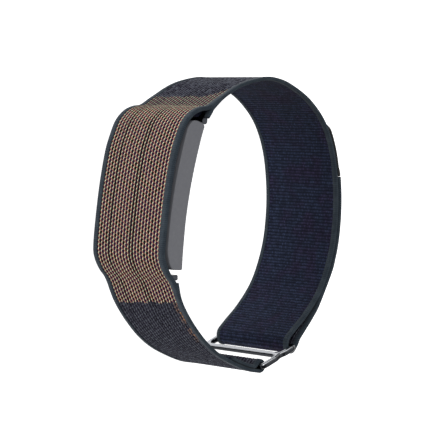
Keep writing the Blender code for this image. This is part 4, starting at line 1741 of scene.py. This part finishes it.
    def rail_cutter(self) -> bpy.types.Object:
        """Cutter for the slot that slides over the hinge's rail.

        Returns:
            The cutter.
        """
        pin = np.array(HINGE_PIN)
        aim = self.at(self.length - 2.0, 2.3)[0] - pin
        aim /= np.linalg.norm(aim)
        side, gap = np.array([-aim[1], aim[0]]), 0.18
        neck, head, start, end = 0.3 + gap, 0.9 + gap, 2.9 - gap, 3.9 + gap
        first = 0.72 - gap * 2
        shape = [(first, -neck), (start, -neck), (start, -head), (end, -head), (end, head), (start, head),
                 (start, neck), (first, neck)]
        outline = np.array([pin + aim * a + side * b + SHIFT for a, b in shape])
        return rounded_prism("cut", outline, self.low - 2, STRAP_HIGH - 3.6, 0.0, 1)

    def build_plate(self) -> None:
        """Dark wrist plate with the raised sensor island and its well."""
        start, edge = self.wall + 0.06, self.length - self.wall - 0.06
        corners = [(start, 0.02), (edge, 0.02), (edge, self.base), (start, self.base)]
        plate = rounded_prism("pod_plate", self.outline(corners, [0.3] * 4), self.low + start,
                              self.high - start, 0.14, 3)
        b = self.bump
        island = [(1.0, 0.6), (1.0, -b * 0.35), (0.985, -b * 0.55), (0.955, -b * 0.74), (0.92, -b * 0.88),
                  (0.88, -b * 0.965), (0.84, -b)]
        combined(plate, self.turned("cut", self.sensor, 0, island, 72, self.island), "UNION")
        contact = [(0.82, -3.0), (0.82, 3.0)]
        holes = [self.turned("cut", self.sensor, 0, [(1.0, -4.0), (1.0, 4.0)], 64, self.optic),
                 self.turned("cut", self.skin_spot, 0.0, [(1.52, -3.0), (1.52, 3.0)], 40),
                 *(self.turned("cut", self.contact_spot, z, contact, 24) for z in self.contact_sides),
                 *(self.screw_hole(u, z) for u, z in self.screws)]
        for hole in holes:
            combined(plate, hole, "DIFFERENCE")
        self.fit(shaded(plate, 32), "pod_black", "pod_base")

    def build_window(self) -> None:
        """Domed window over the optics."""
        long, wide = self.optic[0] - self.gap, self.optic[1] - self.gap
        b = self.bump
        face = [(0.02, -b - 0.14), (0.5, -b - 0.13), (0.8, -b - 0.1), (0.92, -b - 0.06), (0.98, -b),
                (1.0, -b + 0.08), (1.0, -b + 0.6), (0.02, -b + 0.6)]
        window = self.turned("pod_window", self.sensor, 0, face, 64, (long, wide))
        self.fit(window, "window_glass", "sensor_window")

    def build_trim(self) -> None:
        """Screw heads with their cross slots, charge contacts and the temperature plate."""
        profile = [(0.5, 0.10), (0.64, 0.11), (0.72, 0.15), (0.75, 0.22), (0.75, 0.6), (0.36, 0.7),
                   (0.36, 2.1)]
        for number, (u, z) in enumerate(self.screws, 1):
            screw = self.turned(f"pod_screw_{number}", u, z, profile, 32)
            for long, wide in ((0.4, 0.1), (0.1, 0.4)):
                slot = self.block((u - long, u + long), (-0.5, 0.32), (z - wide, z + wide))
                combined(screw, slot, "DIFFERENCE")
            self.fit(shaded(screw, 35), "plain_steel", f"screw_{number}")
        profile = [(0.05, -0.16), (0.45, -0.15), (0.6, -0.12), (0.68, -0.04), (0.7, 0.05), (0.7, 0.95)]
        for number, z in enumerate(self.contact_sides, 1):
            contact = self.turned(f"pod_contact_{number}", self.contact_spot, z, profile, 32)
            self.fit(shaded(contact, 35), "gold_metal", f"charge_contact_{number}")
        profile = [(0.05, -0.06), (1.0, -0.07), (1.22, -0.12), (1.33, -0.1), (1.39, -0.03), (1.4, 0.05),
                   (1.4, 0.9)]
        skin_plate = self.turned("pod_skin_plate", self.skin_spot, 0.0, profile, 40)
        self.fit(shaded(skin_plate, 35), "plain_steel", "temperature_plate")

    def fit(self, obj: bpy.types.Object, slot: str, node: str) -> None:
        """Dresses a piece of the pod and puts it in a node's place.

        Args:
            obj: The piece.
            slot: Name of the plain finish.
            node: The node it stands for.
        """
        WARDROBE.dress(obj, slot)
        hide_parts(node)
        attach(obj, "pod")


# ---- carried-over pieces -------------------------------------------------------------------------

CARRIED = {
    "plain_steel": ["top_link", "catch_bar", "pod_rail"],
    "board_green": ["sensor_board", "main_board"],
    "soft_black": ["light_barrier"],
    "lamp_clear": ["lamp_1", "lamp_2", "lamp_3"],
    "chip_black": ["photodiode_1", "photodiode_2", "photodiode_3", "photodiode_4", "processor", "memory_chip",
                   "power_chip", "motion_chip"],
    "cell_foil": ["battery", "haptic_can", "pod_magnet"],
    "gold_metal": ["radio_antenna", "haptic_weight"],
}


def dress_carried() -> None:
    """Gives the nodes that stay their procedural finishes."""
    for slot, names in CARRIED.items():
        for name in names:
            obj = bpy.data.objects[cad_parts[name].name]
            for place in obj.material_slots:
                place.link = "OBJECT"
                place.material = WARDROBE.get(slot)
            LOG.info("carried %s wears %s", name, slot)


# ---- studio ------------------------------------------------------------------------------------

@dataclass(frozen=True)
class SoftBox:
    """Round soft light that faces the object."""

    name: str
    at: tuple[float, float, float]
    size: float
    power: float

    def build(self, target: tuple[float, float, float]) -> None:
        """Puts the light in the scene.

        Args:
            target: What it faces.
        """
        light = bpy.data.lights.new(self.name, "AREA")
        light.shape, light.size, light.energy = "DISK", self.size * MM, self.power
        obj = bpy.data.objects.new(self.name, light)
        bpy.context.scene.collection.objects.link(obj)
        obj.location = Vector(self.at) * MM
        obj.rotation_mode = "QUATERNION"
        obj.rotation_quaternion = (Vector(self.at) - Vector(target)).to_track_quat("Z", "Y")


@dataclass
class Studio:
    """Pale floor, soft lights and the camera."""

    target: tuple[float, float, float] = (-1.5811, 1.9726, 13.3)
    back: tuple[float, float, float] = (-0.6786, 0.0658, 0.7316)
    distance: float = 461.5
    lens: float = 167.3
    sensor: float = 36.0
    floor_side: float = 3.0
    floor_glow: float = 0.86
    surround: float = 0.32
    boxes: tuple[SoftBox, ...] = (SoftBox("key", (-420, 200, 540), 500, 2.25),
                                  SoftBox("fill", (380, -160, 480), 520, 0.9),
                                  SoftBox("top", (40, 520, 300), 480, 0.7))

    def build(self) -> None:
        """Everything round the object."""
        self.build_camera()
        self.build_floor()
        for box in self.boxes:
            box.build(self.target)
        self.build_surround()

    def build_camera(self) -> None:
        """Camera with +Y near the top of its view."""
        camera = bpy.data.cameras.new("camera")
        camera.lens, camera.sensor_width = self.lens, self.sensor
        camera.clip_start, camera.clip_end = 0.01, 20.0
        obj = bpy.data.objects.new("camera", camera)
        bpy.context.scene.collection.objects.link(obj)
        back = Vector(self.back).normalized()
        right = Vector((0.0, 1.0, 0.0)).cross(back).normalized()
        obj.location = (Vector(self.target) + back * self.distance) * MM
        obj.rotation_mode = "QUATERNION"
        obj.rotation_quaternion = Matrix((right, back.cross(right), back)).transposed().to_quaternion()
        bpy.context.scene.camera = obj

    def build_floor(self) -> None:
        """Wide pale floor that glows a little, so that it stays even."""
        mesh, side = bpy.data.meshes.new("floor"), self.floor_side
        corners = [(-side, -side, 0), (side, -side, 0), (side, side, 0), (-side, side, 0)]
        mesh.from_pydata(corners, [], [(0, 1, 2, 3)])
        floor = placed("floor", mesh)
        g = Graph("floor_white")
        pale = g.mixed(g.noise(0.01, 2.0) * 0.3, (0.9, 0.9, 0.9), (0.86, 0.86, 0.87))
        mesh.materials.append(g.finish(Base_Color=pale, Roughness=0.9, Specular_IOR_Level=0.1,
                                       Emission_Color=(1.0, 1.0, 1.0), Emission_Strength=self.floor_glow))
        floor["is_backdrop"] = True

    def build_surround(self) -> None:
        """Even white surround, shown without a film look."""
        world = bpy.data.worlds.new("surround")
        world.use_nodes = True
        ground = world.node_tree.nodes["Background"]
        ground.inputs[0].default_value, ground.inputs[1].default_value = (1, 1, 1, 1), self.surround
        bpy.context.scene.world = world
        bpy.context.scene.view_settings.view_transform = "Standard"


def main() -> None:
    """Builds every sub-assembly in order and reports each."""
    logging.basicConfig(level=logging.INFO, format="%(message)s")
    Studio().build()
    loop = Loop()
    skin = loop.skin
    top_ends, low_ends, join = (tuple(skin.near(point) for point in pair)
                                for pair in (KNIT_TOP, KNIT_LOW, COVER_SEAMS))
    knit = Knit(top_ends=top_ends, low_ends=low_ends, fold=skin.near(KNIT_FOLD))
    knit_material = knit.material("strap_and_cover_knit")
    strap = Strap(loop, knit, knit_material)
    strap.build_upper(join[0])
    strap.build_lower(join[1])
    strap.build_root()
    Cover(loop, knit, knit_material, strap.tape_material).build(join)
    Slider().build()
    Tail(strap).build()
    EndTab().build()
    pod = Pod()
    pod.build_body()
    pod.build_plate()
    pod.build_window()
    pod.build_trim()
    dress_carried()
    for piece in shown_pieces():
        LOG.info("%s: %d faces", piece.name, len(piece.data.polygons))


if __name__ == "__main__":
    main()
